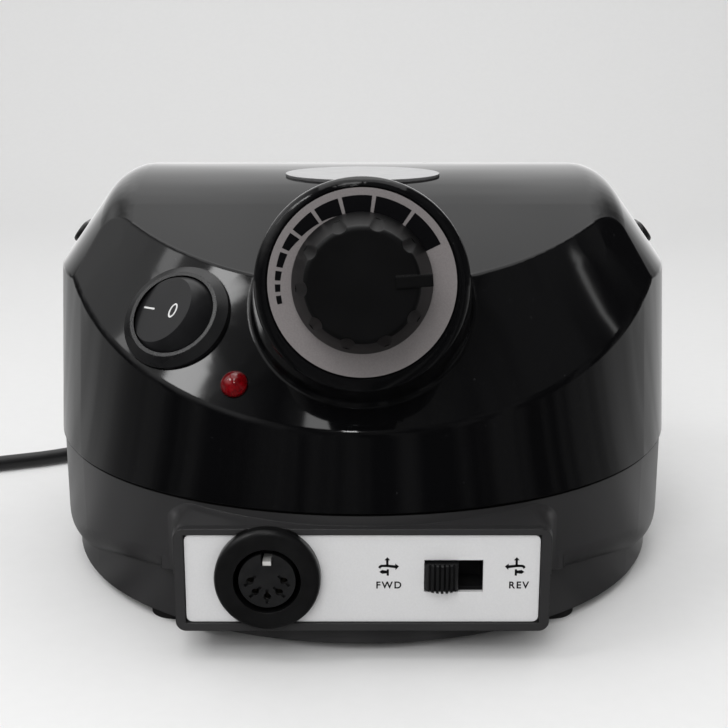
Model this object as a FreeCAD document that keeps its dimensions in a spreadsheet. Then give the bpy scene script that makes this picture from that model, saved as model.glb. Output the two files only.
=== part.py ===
import FreeCAD, Part
import math
import os
import re
import Sketcher

# Nail drill control box: a two-part moulded housing with a speed dial, a power rocker,
# a handpiece socket and a direction switch on the front, and the drive electronics inside.
# Frame: +Z up, front towards -Y, floor at Z = 0, origin under the middle of the body.
# Lengths are millimetres. In the sheet, Y distances run back from the front plate's face.

doc = FreeCAD.newDocument("NailDrillControlBox")
sheet = doc.addObject("Spreadsheet::Sheet", "Sizes")

SIZES = [
    # Place of the front plate's face along Y
    ("face_y", -63.1),
    # Housing plan, the same for both shells
    ("front_radius", 76.5),
    ("front_half_angle", 60),
    ("side_radius", 90),
    ("apex_setback", 0.6),
    ("housing_depth", 138),
    ("rear_corner_radius", 34),
    ("wall", 2.5),
    ("small_gap", 0.3),
    # Upper shell
    ("seam_height", 33),
    ("seam_gap", 0.4),
    ("seam_overhang", 0.5),
    ("wall_draft", 3),
    ("shoulder_height", 74.5),
    ("shoulder_draft", 36),
    ("shoulder_round", 11),
    ("roof_front_y", 27.4),
    ("roof_rise", 4.3),
    ("roof_slope", 22.7),
    ("roof_straight", 30),
    ("roof_radius", 84),
    ("band_axis_y", 125),
    ("band_front_height", 48.8),
    ("band_slope", 52),
    ("crease_round", 2.5),
    ("fold_round", 1.5),
    # Dial turret on the upper shell
    ("dial_y", 0.0),
    ("dial_rise", 7.1),
    ("dial_tilt", 9),
    ("turret_radius", 21.4),
    ("turret_reach", 60),
    ("turret_drop", 15),
    ("turret_flare", 6.2),
    ("turret_round", 2.4),
    ("turret_foot_round", 1.2),
    ("label_radius", 18.7),
    ("label_thickness", 0.5),
    # Lower shell
    ("base_height", 2.5),
    ("belly_low", 5),
    ("belly_round", 7),
    ("belly_lift", 7.5),
    ("belly_lift_start", 14),
    ("belly_lift_end", 62),
    ("skirt_inset", 3),
    ("skirt_top", 17),
    ("floor_thickness", 2.5),
    ("lip_height", 2.2),
    ("lip_thickness", 1.2),
    ("lip_clearance", 0.2),
    # Bezel block and front plate
    ("block_side", 2.25),
    ("block_under", 1.9),
    ("block_over", 1.5),
    ("block_proud", 0.5),
    ("block_depth", 16),
    ("block_round", 2.2),
    ("cheek_setback", 0.3),
    ("cheek_start", 7.6),
    ("cheek_radius", 9),
    ("cheek_side", 0.5),
    ("cheek_rise", 2.7),
    ("cheek_round", 3),
    ("cheek_front_low", 20),
    ("cheek_low", 14.5),
    ("plate_width", 73.9),
    ("plate_height", 19.4),
    ("plate_low", 9.3),
    ("plate_thickness", 1.0),
    ("plate_corner", 1.3),
    ("plate_clearance", 0.15),
    # Handpiece socket, five-way round connector
    ("socket_x", -19.7),
    ("socket_height", 19.6),
    ("flange_diameter", 22.2),
    ("flange_thickness", 3.0),
    ("flange_round", 1.3),
    ("socket_bore", 14.0),
    ("socket_barrel", 16.4),
    ("socket_length", 15),
    ("core_diameter", 11.85),
    ("core_recess", 0.4),
    ("contact_circle", 7.0),
    ("contact_diameter", 2.3),
    ("contact_bore", 1.5),
    ("key_width", 2.35),
    ("key_depth", 2.7),
    ("key_reach", 5),
    ("contact_tail", 4),
    ("mouth_diameter", 1.55),
    ("mouth_depth", 1.0),
    ("slot_length", 3.2),
    ("slot_width", 0.6),
    ("slot_depth", 0.7),
    # Direction switch
    ("window_x", 19.05),
    ("window_height", 19.6),
    ("window_width", 12.3),
    ("window_tall", 7.1),
    ("slider_width", 6.9),
    ("slider_travel", 5.0),
    ("slider_proud", 2.4),
    ("rib_count", 6),
    ("rib_groove", 0.45),
    ("slider_x", 16.55),
    ("slider_tall", 6.5),
    ("slider_dome", 4.2),
    ("block_wall", 2.2),
    ("switch_depth", 9),
    ("switch_rim", 3),
    ("terminal_width", 1.6),
    ("terminal_thickness", 0.6),
    ("terminal_length", 5),
    ("terminal_pitch", 3.8),
    # Speed knob and potentiometer
    ("knob_radius", 13.9),
    ("knob_top_radius", 10.9),
    ("knob_height", 14),
    ("knob_lift", 0.8),
    ("flute_radius", 2.1),
    ("flute_depth", 0.6),
    ("flute_places", 10),
    ("flute_rise", 4),
    ("knob_round", 1.0),
    ("pointer_width", 2.3),
    ("pointer_start", 6.3),
    ("pointer_end", 13.2),
    ("pointer_proud", 0.45),
    ("pointer_angle", 4),
    ("shaft_diameter", 6),
    ("shaft_clearance", 0.05),
    ("shaft_top", 12),
    ("bush_height", 3),
    ("pot_diameter", 16.5),
    ("pot_depth", 9),
    ("bush_diameter", 7),
    ("nut_width", 10),
    ("nut_thickness", 2),
    # Power rocker
    ("rocker_azimuth", -21.9),
    ("rocker_drop", 5.1),
    ("rocker_turn", -5),
    ("bezel_radius", 12.3),
    ("bezel_rise", 2.0),
    ("rocker_opening", 9.3),
    ("rocker_barrel", 11.4),
    ("bezel_seat", 0.8),
    ("rocker_length", 16),
    ("pivot_depth", 5.0),
    ("paddle_face_radius", 7.9),
    ("paddle_rise", 1.6),
    ("paddle_tilt", 17),
    ("paddle_tail", 7),
    ("paddle_depth", 4),
    ("rocker_room", 9.5),
    ("bezel_flat", 0.9),
    ("bezel_edge", 0.6),
    ("blade_length", 8),
    ("blade_width", 4.8),
    ("blade_thickness", 0.8),
    ("blade_place", 4.5),
    ("pin_diameter", 2.4),
    ("running_clearance", 0.05),
    # Power lamp
    ("lamp_azimuth", -13.2),
    ("lamp_drop", 16.5),
    ("lamp_diameter", 5.7),
    ("lamp_proud", 2.6),
    ("lamp_crown", 1.9),
    ("lead_diameter", 0.6),
    ("lead_length", 12),
    # Badge plate and cradle studs
    ("badge_y", 72),
    ("badge_length", 38.2),
    ("badge_width", 12),
    ("badge_thickness", 1.2),
    ("stud_y", 96),
    ("stud_rise", 3.0),
    ("stud_length", 11),
    ("stud_width", 6),
    ("stud_proud", 2.3),
    ("stud_pin", 3.0),
    # Feet and case screws
    ("foot_x", 42.8),
    ("foot_front_y", 26.8),
    ("foot_rear_y", 117),
    ("foot_diameter", 12),
    ("foot_recess", 1.0),
    ("post_x", 52),
    ("post_front_y", 43),
    ("post_rear_y", 112),
    ("post_diameter", 8),
    ("screw_diameter", 3),
    ("screw_head", 5.6),
    ("screw_length", 46),
    ("head_height", 2.0),
    ("head_depth", 7.0),
    # Transformer
    ("transformer_x", -27),
    ("transformer_y", 84),
    ("core_width", 57),
    ("core_stack", 26),
    ("core_tall", 48),
    ("core_leg", 9.5),
    ("winding_bulge", 8),
    # Control board
    ("board_x", 36),
    ("board_y", 80),
    ("board_width", 50),
    ("board_length", 54),
    ("board_thickness", 1.6),
    ("board_height", 12),
    ("board_inset", 4),
    ("board_post", 5),
    ("board_screw", 2.5),
    ("bracket_height", 8),
    ("bracket_foot", 7),
    ("bracket_thickness", 1.2),
    ("capacitor_diameter", 16),
    ("capacitor_height", 26),
    ("rectifier_length", 15),
    ("rectifier_thickness", 4),
    ("rectifier_tall", 11),
    ("sink_base", 3),
    ("sink_length", 32),
    ("sink_tall", 26),
    ("fin_count", 6),
    ("fin_reach", 8),
    ("fin_thickness", 1.4),
    ("transistor_thickness", 4.4),
    ("transistor_width", 10),
    ("transistor_tall", 15),
    ("connector_gap", 1.2),
    ("connector_wall", 0.8),
    ("connector_depth", 6),
    ("connector_tall", 7),
    # Rear panel items
    ("rear_item_height", 20.5),
    ("cord_x", 34),
    ("fuse_x", -10),
    ("mode_x", 12),
    ("pedal_x", -34),
    ("relief_diameter", 9),
    ("relief_tip_diameter", 6.4),
    ("relief_length", 26),
    ("cord_diameter", 4.6),
    ("floor_gap", 0.05),
    ("fuse_diameter", 13),
    ("fuse_flange", 2),
    ("fuse_wall", 1.5),
    ("fuse_length", 26),
    ("fuse_cap", 3),
    ("coin_slot", 1.4),
    ("jack_diameter", 8),
    ("jack_bore", 3.6),
    ("jack_length", 12),
    ("jack_proud", 3),
    ("mode_travel", 4),
    ("mode_width", 5),
    ("mode_tall", 4),
    ("mode_depth", 7),
    ("mode_proud", 2),
    # Cord put away beside the box
    ("coil_x", -151.9),
    ("coil_y", 69.6),
    ("coil_inner_radius", 19.5),
    ("coil_pitch", 5.1),
    ("coil_turns", 4),
    ("coil_start", 114.2),
    ("coil_tail", 30),
    ("plug_length", 30),
    ("plug_width", 22),
    ("plug_thickness", 14.6),
    ("pin_length", 16),
    ("pin_width", 6.3),
    ("pin_thickness", 1.5),
    ("pin_spacing", 12.7),
]

for row, (alias, value) in enumerate(SIZES, 1):
    sheet.set("A%d" % row, alias)
    sheet.set("B%d" % row, str(value))
    sheet.setAlias("B%d" % row, alias)
doc.recompute()
ALIASES = [alias for alias, value in SIZES]
WORDS = re.compile(r"\b(" + "|".join(ALIASES) + r")\b")
V = FreeCAD.Vector
TURN = FreeCAD.Rotation


# Helpers

def words(text):
    """An expression with the sheet's name before each of its aliases."""
    return WORDS.sub(r"Sizes.\1", text)


def bind(item, **properties):
    for name, text in properties.items():
        item.setExpression(name, words(text))
    return item


def place(item, x="0", y="0", z="0", turn=None):
    """Puts an item at sheet distances: x across, y back from the plate, z up from the floor."""
    item.Placement = FreeCAD.Placement(V(0, 0, 0), turn or TURN())
    item.setExpression(".Placement.Base.x", words(x))
    item.setExpression(".Placement.Base.y", words("face_y + (%s)" % y))
    item.setExpression(".Placement.Base.z", words(z))
    return item


def new_body(name):
    body = doc.addObject("PartDesign::Body", name)
    bind(body, **{".Placement.Base.y": "face_y"})
    return body


def sketch_on(body, name, role, lift=None, turn=None):
    """A sketch on one of the body's own planes, lifted off it by a sheet distance."""
    sketch = body.newObject("Sketcher::SketchObject", name)
    planes = [item for item in body.Origin.OriginFeatures if item.Role == role]
    sketch.AttachmentSupport = [(planes[0], "")]
    sketch.MapMode = "FlatFace"
    if turn:
        sketch.AttachmentOffset = FreeCAD.Placement(V(0, 0, 0), turn)
    if lift:
        sketch.setExpression(".AttachmentOffset.Base.z", words(lift))
    return sketch


def name_size(sketch, name, text, *rule):
    """A dimension in a sketch that follows the sheet."""
    index = sketch.addConstraint(Sketcher.Constraint(*rule))
    sketch.renameConstraint(index, name)
    sketch.setExpression("Constraints." + name, words(text))


def rectangle(sketch, width, height, x="0", y="0"):
    """A rectangle about the point x, y, with every size from the sheet."""
    first = sketch.GeometryCount
    tag = "r%d" % first
    corners = [V(-5, -5, 0), V(5, -5, 0), V(5, 5, 0), V(-5, 5, 0)]
    for start, end in zip(corners, corners[1:] + corners[:1]):
        sketch.addGeometry(Part.LineSegment(start, end), False)
    for index in range(4):
        rule = ("Coincident", first + index, 2, first + (index + 1) % 4, 1)
        sketch.addConstraint(Sketcher.Constraint(*rule))
        way = "Vertical" if index % 2 else "Horizontal"
        sketch.addConstraint(Sketcher.Constraint(way, first + index))
    name_size(sketch, tag + "_left", "%s - (%s) / 2" % (x, width), "DistanceX", -1, 1, first, 1, -5.0)
    name_size(sketch, tag + "_low", "%s - (%s) / 2" % (y, height), "DistanceY", -1, 1, first, 1, -5.0)
    name_size(sketch, tag + "_right", "%s + (%s) / 2" % (x, width), "DistanceX", -1, 1, first + 2, 1, 5.0)
    name_size(sketch, tag + "_high", "%s + (%s) / 2" % (y, height), "DistanceY", -1, 1, first + 2, 1, 5.0)


def circle(sketch, radius, x="0", y="0"):
    first = sketch.addGeometry(Part.Circle(V(1, 1, 0), V(0, 0, 1), 2), False)
    tag = "c%d" % first
    name_size(sketch, tag + "_x", x, "DistanceX", -1, 1, first, 3, 1.0)
    name_size(sketch, tag + "_y", y, "DistanceY", -1, 1, first, 3, 1.0)
    name_size(sketch, tag + "_radius", radius, "Radius", first, 2.0)


def outline(sketch, points):
    """A closed outline of straight lines through the points."""
    for start, end in zip(points, points[1:] + points[:1]):
        sketch.addGeometry(Part.LineSegment(V(*start, 0), V(*end, 0)), False)


def pad(body, name, sketch, length, reverse=False, **more):
    feature = body.newObject("PartDesign::Pad", name)
    feature.Profile = sketch
    feature.Reversed = reverse
    bind(feature, Length=length, **more)
    return feature


def pocket(body, name, sketch, length=None, reverse=False):
    """A cut of the given depth, or through everything on both sides."""
    feature = body.newObject("PartDesign::Pocket", name)
    feature.Profile = sketch
    feature.Reversed = reverse
    if length:
        bind(feature, Length=length)
    else:
        feature.Type = "ThroughAll"
        feature.Midplane = True
    return feature


def turned(body, name, sketch, cut=False):
    """A full turn about the sketch's own vertical axis."""
    kind = "PartDesign::Groove" if cut else "PartDesign::Revolution"
    feature = body.newObject(kind, name)
    feature.Profile = sketch
    feature.ReferenceAxis = (sketch, ["V_Axis"])
    feature.Angle = 360
    return feature


def loft(body, name, sketches, ruled=True):
    feature = body.newObject("PartDesign::AdditiveLoft", name)
    feature.Profile = sketches[0]
    feature.Sections = sketches[1:]
    feature.Ruled = ruled
    return feature


def fillet(body, name, base, edges, radius):
    feature = body.newObject("PartDesign::Fillet", name)
    feature.Base = (base, edges)
    bind(feature, Radius=radius)
    return feature


def edges_where(feature, test):
    """Names of the feature's edges whose middle point passes the test."""
    doc.recompute()
    names = []
    for index, edge in enumerate(feature.Shape.Edges, 1):
        if edge.Length < 0.01:
            continue
        middle = edge.valueAt((edge.FirstParameter + edge.LastParameter) / 2)
        if test(middle, edge):
            names.append("Edge%d" % index)
    return names


def cylinder(name, radius, height, x, y, z, turn=None):
    item = doc.addObject("Part::Cylinder", name)
    bind(item, Radius=radius, Height=height)
    return place(item, x, y, z, turn)


def block(name, length, width, height, x, y, z):
    """A box centred on x and y that stands on z."""
    item = doc.addObject("Part::Box", name)
    bind(item, Length=length, Width=width, Height=height)
    return place(item, "%s - (%s) / 2" % (x, length), "%s - (%s) / 2" % (y, width), z)


def fuse(name, items):
    item = doc.addObject("Part::MultiFuse", name)
    item.Shapes = items
    return item


def cut(name, base, tools):
    item = doc.addObject("Part::Cut", name)
    item.Base = base
    item.Tool = tools[0] if len(tools) == 1 else fuse(name + "_tools", tools)
    return item


def group(name, items):
    item = doc.addObject("Part::Compound", name)
    item.Links = items
    return item


ROOF_FRONT_HEIGHT = sheet.shoulder_height + sheet.roof_rise
DIAL_HEIGHT = "(shoulder_height + dial_rise)"
ROCKER_HEIGHT = "(shoulder_height - rocker_drop)"
LAMP_HEIGHT = "(shoulder_height - lamp_drop)"
STUD_HEIGHT = "(shoulder_height + stud_rise)"
BLOCK_LOW = "(plate_low - block_under)"
BLOCK_HIGH = "(plate_low + plate_height + block_over)"
BLOCK_WIDTH = "(plate_width + 2 * block_side)"
BACKWARD = TURN(V(1, 0, 0), -90)
DIAL_TURN = TURN(V(1, 0, 0), 90 - sheet.dial_tilt)
FORWARD = TURN(V(1, 0, 0), 90)


# Housing plan: a nearly round front, long side arcs and a squarer back, all tangent

def housing_plan(sketch, inset):
    """The plan of the housing wall, drawn in from its outside by the inset."""
    half = math.radians(sheet.front_half_angle)
    front = sheet.front_radius
    side = sheet.side_radius
    corner = sheet.rear_corner_radius
    front_y = sheet.apex_setback + front
    side_x = (front - side) * math.sin(half)
    side_y = front_y - (front - side) * math.cos(half)
    half_width = side_x + side
    corner_x = half_width - corner
    corner_y = sheet.housing_depth - corner
    right = math.radians(-90) + half
    left = math.radians(-90) - half

    def arc(x, y, radius, start, end):
        ring = Part.Circle(V(x, y, 0), V(0, 0, 1), radius - inset)
        sketch.addGeometry(Part.ArcOfCircle(ring, start, end), False)

    def line(x1, y1, x2, y2):
        sketch.addGeometry(Part.LineSegment(V(x1, y1, 0), V(x2, y2, 0)), False)

    arc(0, front_y, front, left, right)
    arc(side_x, side_y, side, right, 0)
    line(half_width - inset, side_y, half_width - inset, corner_y)
    arc(corner_x, corner_y, corner, 0, math.radians(90))
    line(corner_x, sheet.housing_depth - inset, -corner_x, sheet.housing_depth - inset)
    arc(-corner_x, corner_y, corner, math.radians(90), math.radians(180))
    line(-half_width + inset, corner_y, -half_width + inset, side_y)
    arc(-side_x, side_y, side, math.radians(180), left + math.radians(360))


def plan_at(body, name, height, inset):
    sketch = sketch_on(body, name, "XY_Plane", height)
    housing_plan(sketch, inset)
    return sketch


def draft_in(rise, degrees):
    return rise * math.tan(math.radians(degrees))


# Upper shell form, drawn once for its outside and once for its hollow

def roof_outline(sketch, drop):
    """Everything above the roof line, seen from the side."""
    slope = math.radians(sheet.roof_slope)
    radius = sheet.roof_radius - drop
    start = V(sheet.roof_front_y + drop * math.sin(slope), ROOF_FRONT_HEIGHT - drop * math.cos(slope), 0)
    front = start - V(math.cos(slope), math.sin(slope), 0) * 40
    straight = sheet.roof_straight
    joint = start + V(math.cos(slope), math.sin(slope), 0) * straight
    centre = joint + V(math.sin(slope), -math.cos(slope), 0) * radius
    end_angle = math.radians(35)
    end = centre + V(math.cos(end_angle), math.sin(end_angle), 0) * radius
    above = 160
    ring = Part.Circle(centre, V(0, 0, 1), radius)
    sketch.addGeometry(Part.LineSegment(front, joint), False)
    sketch.addGeometry(Part.ArcOfCircle(ring, end_angle, math.pi / 2 + slope), False)
    sketch.addGeometry(Part.LineSegment(end, V(end.x, above, 0)), False)
    sketch.addGeometry(Part.LineSegment(V(end.x, above, 0), V(front.x, above, 0)), False)
    sketch.addGeometry(Part.LineSegment(V(front.x, above, 0), front), False)


def band_outline(sketch, depth):
    """Everything outside the band's cone, as a section beside the cone's upright axis."""
    slope = math.radians(sheet.band_slope)
    radius = sheet.band_axis_y - sheet.apex_setback - depth / math.sin(slope)
    low = 30
    high = 90
    outer = 200
    foot = radius + low / math.tan(slope)
    head = radius - high / math.tan(slope)
    outline(sketch, [(foot, -low), (outer, -low), (outer, high), (head, high)])


def upper_form(name, hollow):
    """The closed form of the upper shell: a drafted wall, a sloping shoulder and a bent roof,
    cut back by the band's cone, with the dial turret standing out of the band."""
    inset = sheet.wall if hollow else 0
    body = new_body(name)
    shoulder = sheet.shoulder_height - inset / 2
    peak = sheet.shoulder_height + 37
    foot = sheet.seam_height - 1 if hollow else sheet.seam_height
    wall_inset = inset + draft_in(shoulder - sheet.seam_height, sheet.wall_draft)
    peak_inset = wall_inset + draft_in(peak - shoulder, sheet.shoulder_draft)
    seam = plan_at(body, name + "_seam", str(foot), inset)
    bend = plan_at(body, name + "_bend", str(shoulder), wall_inset)
    bend_again = plan_at(body, name + "_bend_again", str(shoulder), wall_inset)
    top = plan_at(body, name + "_top", str(peak), peak_inset)
    loft(body, name + "_wall", [seam, bend])
    loft(body, name + "_shoulder", [bend_again, top])
    side = sketch_on(body, name + "_roof_line", "YZ_Plane")
    roof_outline(side, inset)
    roof = pocket(body, name + "_roof", side)
    rim = edges_where(roof, lambda point, edge: point.z > shoulder + 1 and edge.Length > 3)
    fillet(body, name + "_rim", roof, rim, "shoulder_round - wall" if hollow else "shoulder_round")
    cone = sketch_on(body, name + "_cone", "YZ_Plane")
    bind(cone, **{".AttachmentOffset.Base.x": "band_axis_y", ".AttachmentOffset.Base.y": "band_front_height"})
    band_outline(cone, inset)
    band = turned(body, name + "_band", cone, cut=True)
    crease = edges_where(band, is_crease)
    eased = fillet(body, name + "_crease", band, crease, "crease_round + wall" if hollow else "crease_round")
    if not hollow:
        fillet(body, name + "_fold", eased, edges_where(eased, is_fold), "fold_round")
    turret(body, name, hollow)
    return body


def is_crease(point, edge):
    """The long lower edge of the band, where its cone meets the drafted wall."""
    return point.y < 10 and edge.Length > 100 and point.z > sheet.seam_height + 5


def is_fold(point, edge):
    """The upper edge of the band, where its cone meets the roof behind the turret."""
    behind_turret = abs(point.x) < sheet.turret_radius + 2 * sheet.turret_flare
    return behind_turret and point.y < 2 * sheet.roof_front_y and point.z > ROOF_FRONT_HEIGHT - 4 \
        and edge.Length > 20


def dial_sketch(body, name, up, out):
    """A sketch parallel to the dial's face, moved up it and out from it."""
    sketch = sketch_on(body, name, "XY_Plane", None, DIAL_TURN)
    lift = DIAL_HEIGHT + " + (%s) * cos(dial_tilt * 1deg) + (%s) * sin(dial_tilt * 1deg)" % (up, out)
    back = "dial_y + (%s) * sin(dial_tilt * 1deg) - (%s) * cos(dial_tilt * 1deg)" % (up, out)
    bind(sketch, **{".AttachmentOffset.Base.y": back, ".AttachmentOffset.Base.z": lift})
    return sketch


def turret(body, name, hollow):
    """A round boss that widens into the band, with the dial on its flat end."""
    thinner = " - wall" if hollow else ""
    front = dial_sketch(body, name + "_turret_front", "0", "0" + thinner)
    circle(front, "turret_radius" + thinner)
    back = dial_sketch(body, name + "_turret_back", "0 - turret_drop", "0 - turret_reach")
    circle(back, "turret_radius + turret_flare" + thinner)
    boss = loft(body, name + "_turret", [front, back])
    if hollow:
        return
    rim = edges_where(boss, lambda point, edge: point.y < 8 and edge.Closed and edge.Length > 100)
    bead = fillet(body, name + "_bead", boss, rim, "turret_round")
    joint = edges_where(bead, is_turret_foot)
    fillet(body, name + "_turret_foot", bead, joint, "turret_foot_round")


def is_turret_foot(point, edge):
    """The edges where the turret's side runs into the band and the roof."""
    side = abs(point.x) < sheet.turret_radius + sheet.turret_flare
    return side and sheet.band_front_height + 2 < point.z and 0 < point.y < 60 and edge.Length > 5


def on_band(item, azimuth, height, out="0", twist=0):
    """Places an item on the band with its own Z along the outward normal and Y up the slope."""
    reach = ("(band_axis_y - apex_setback - (%s - band_front_height) / tan(band_slope * 1deg)"
             " + (%s) * sin(band_slope * 1deg))" % (height, out))
    x = "%s * sin(%s * 1deg)" % (reach, azimuth)
    y = "band_axis_y - %s * cos(%s * 1deg)" % (reach, azimuth)
    z = "%s + (%s) * cos(band_slope * 1deg)" % (height, out)
    turn = TURN(V(0, 0, 1), sheet.get(azimuth)) * TURN(V(1, 0, 0), sheet.band_slope)
    return place(item, x, y, z, turn * TURN(V(0, 0, 1), twist))


def on_dial(item, out="0"):
    """Places an item on the middle of the dial with its own Z out of the dial."""
    y = "dial_y - (%s) * cos(dial_tilt * 1deg)" % out
    z = DIAL_HEIGHT + " + (%s) * sin(dial_tilt * 1deg)" % out
    return place(item, "0", y, z, DIAL_TURN)


def on_front(item, x, z, out="0"):
    """Places an item on the front plate's face with its own Z towards the user."""
    return place(item, x, "0 - (%s)" % out, z, FORWARD)


def on_rear(item, x, z, out="0"):
    """Places an item on the lower shell's rear wall with its own Z away from the box."""
    return place(item, x, "housing_depth - seam_overhang + (%s)" % out, z, BACKWARD)


def free_body(name):
    """A body drawn about its own origin and placed afterwards."""
    return doc.addObject("PartDesign::Body", name)


def disc(body, name, radius, start, length):
    """A round pad of the body that stands on its XY plane."""
    sketch = sketch_on(body, name + "_circle", "XY_Plane", start)
    circle(sketch, radius)
    return pad(body, name, sketch, length)


def bore(body, name, radius, start, depth, x="0", y="0"):
    """A round hole that goes down from the start height."""
    sketch = sketch_on(body, name + "_circle", "XY_Plane", start)
    circle(sketch, radius, x, y)
    return pocket(body, name, sketch, depth)


def half_section(body, name, points, cut=False):
    """A turned form from points of radius and height."""
    sketch = sketch_on(body, name + "_section", "XZ_Plane")
    outline(sketch, points)
    return turned(body, name, sketch, cut)


# Upper shell

def roof_at(y):
    """Height and slope in degrees of the roof at a distance back from the front plate."""
    slope = math.radians(sheet.roof_slope)
    joint_y = sheet.roof_front_y + sheet.roof_straight * math.cos(slope)
    joint_z = ROOF_FRONT_HEIGHT + sheet.roof_straight * math.sin(slope)
    if y < joint_y:
        return joint_z - (joint_y - y) * math.tan(slope), sheet.roof_slope
    angle = math.asin(math.sin(slope) - (y - joint_y) / sheet.roof_radius)
    height = joint_z + sheet.roof_radius * (math.cos(angle) - math.cos(slope))
    return height, math.degrees(angle)


def upper_posts(outside):
    """Screw posts that hang from the shoulder down to the seam."""
    posts = []
    for index, (x, y) in enumerate(POST_PLACES):
        post = cylinder("upper_post_%d" % index, "post_diameter / 2", "shoulder_height", x, y, "seam_height")
        posts.append(post)
    trimmed = doc.addObject("Part::Common", "upper_posts")
    trimmed.Base = group("upper_post_row", posts)
    trimmed.Tool = outside
    return trimmed


def badge_blank(name, grow, low, thickness):
    """The oval of the badge, square to the roof."""
    body = free_body(name)
    sketch = sketch_on(body, name + "_oval", "XY_Plane", low)
    length = sheet.badge_length / 2 + grow
    width = sheet.badge_width / 2 + grow
    sketch.addGeometry(Part.Ellipse(V(length, 0, 0), V(0, width, 0), V(0, 0, 0)), False)
    pad(body, name + "_thickness", sketch, thickness)
    height, slope = roof_at(sheet.badge_y)
    place(body, "0", "badge_y", str(height), TURN(V(1, 0, 0), slope))
    return body


def stud_turn(side):
    """Z square to the shoulder's slope, X along the box."""
    across = TURN(V(0, 1, 0), side * (90 - sheet.shoulder_draft))
    return across * TURN(V(0, 0, 1), 90)


def on_shoulder(item, side, out="0"):
    inset = ("((shoulder_height - seam_height) * tan(wall_draft * 1deg)"
             " + stud_rise * tan(shoulder_draft * 1deg))")
    half_width = "((front_radius - side_radius) * sin(front_half_angle * 1deg) + side_radius)"
    reach = "%s - %s + (%s) * cos(shoulder_draft * 1deg)" % (half_width, inset, out)
    x = "%d * (%s)" % (side, reach)
    z = STUD_HEIGHT + " + (%s) * sin(shoulder_draft * 1deg)" % out
    return place(item, x, "stud_y", z, stud_turn(side))


POST_PLACES = [(x, y) for x in ("0 - post_x", "post_x") for y in ("post_front_y", "post_rear_y")]


def upper_shell():
    outside = upper_form("upper_outside", False)
    inside = upper_form("upper_inside", True)
    below = block("below_seam", "4 * side_radius", "4 * side_radius", "seam_height", "0", "housing_depth / 2", "0")
    skin = cut("upper_skin", outside, [inside, below])
    walls = fuse("upper_walls", [skin, upper_posts(outside)])
    tools = []
    for index, (x, y) in enumerate(POST_PLACES):
        tools.append(cylinder("upper_pilot_%d" % index, "screw_diameter / 2 + running_clearance",
                              "screw_length", x, y, "0"))
    tools.append(on_dial(cylinder("label_seat", "label_radius + small_gap", "4 * wall", "0", "0", "0"),
                         "0 - label_thickness"))
    tools.append(on_dial(cylinder("bush_hole", "bush_diameter / 2 + small_gap / 2", "8 * wall", "0", "0", "0"),
                         "0 - 4 * wall"))
    seat = cylinder("rocker_seat", "bezel_radius + running_clearance", "4 * wall", "0", "0", "0")
    tools.append(on_band(seat, "rocker_azimuth", ROCKER_HEIGHT, "0 - bezel_seat"))
    hole = cylinder("rocker_hole", "rocker_barrel + running_clearance", "8 * wall", "0", "0", "0")
    tools.append(on_band(hole, "rocker_azimuth", ROCKER_HEIGHT, "0 - 4 * wall"))
    lamp = cylinder("lamp_hole", "lamp_diameter / 2 + running_clearance", "8 * wall", "0", "0", "0")
    tools.append(on_band(lamp, "lamp_azimuth", LAMP_HEIGHT, "0 - 4 * wall"))
    tools.append(badge_blank("badge_seat", sheet.running_clearance, "0 - badge_thickness / 2", "4 * wall"))
    for side, name in ((-1, "left"), (1, "right")):
        pin = cylinder("stud_hole_" + name, "stud_pin / 2 + running_clearance", "4 * wall", "0", "0", "0")
        tools.append(on_shoulder(pin, side, "0 - 2 * wall"))
    return cut("upper_shell", walls, tools)


# Lower shell

def lower_form(name, hollow):
    """The closed form of the lower shell: an upright wall with a rounded belly that lifts
    towards the front, standing on a smaller skirt, with the front block let into it."""
    inset = sheet.seam_overhang + (sheet.wall if hollow else 0)
    low = sheet.belly_low + (sheet.wall if hollow else 0)
    thinner = " - wall" if hollow else ""
    body = new_body(name)
    plan = plan_at(body, name + "_plan", str(low), inset)
    top = "seam_height + 1" if hollow else "seam_height - seam_gap"
    pad(body, name + "_walls", plan, "%s - %s" % (top, low))
    side = sketch_on(body, name + "_lift_line", "YZ_Plane")
    lifted = low + sheet.belly_lift
    lift_outline(side, low, lifted)
    lift = pocket(body, name + "_lift", side)
    edges = edges_where(lift, is_belly_edge)
    fillet(body, name + "_belly", lift, edges, "belly_round" + thinner)
    skirt = plan_at(body, name + "_skirt_plan", "base_height" + (" + wall" if hollow else ""),
                    sheet.skirt_inset + (sheet.wall if hollow else 0))
    pad(body, name + "_skirt", skirt, "skirt_top - base_height")
    front = sketch_on(body, name + "_block_face", "XZ_Plane", "block_proud" + thinner)
    rectangle(front, BLOCK_WIDTH + thinner * 2, BLOCK_HIGH + " - " + BLOCK_LOW + thinner * 2, "0",
              "(%s + %s) / 2" % (BLOCK_HIGH, BLOCK_LOW))
    face = pad(body, name + "_block", front, "block_depth", reverse=True)
    corners = edges_where(face, lambda point, edge: is_block_corner(point, edge, hollow))
    fillet(body, name + "_block_corners", face, corners, "block_round" + thinner + (" + 1.3" if hollow else ""))
    if not hollow:
        cheeks(body, name)
        above = plan_at(body, name + "_above_seam", top, -sheet.wall)
        pocket(body, name + "_trim", above, "seam_height", reverse=True)
    return body


CHEEK_TURNS = [0, 25, 45, 62]


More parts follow.
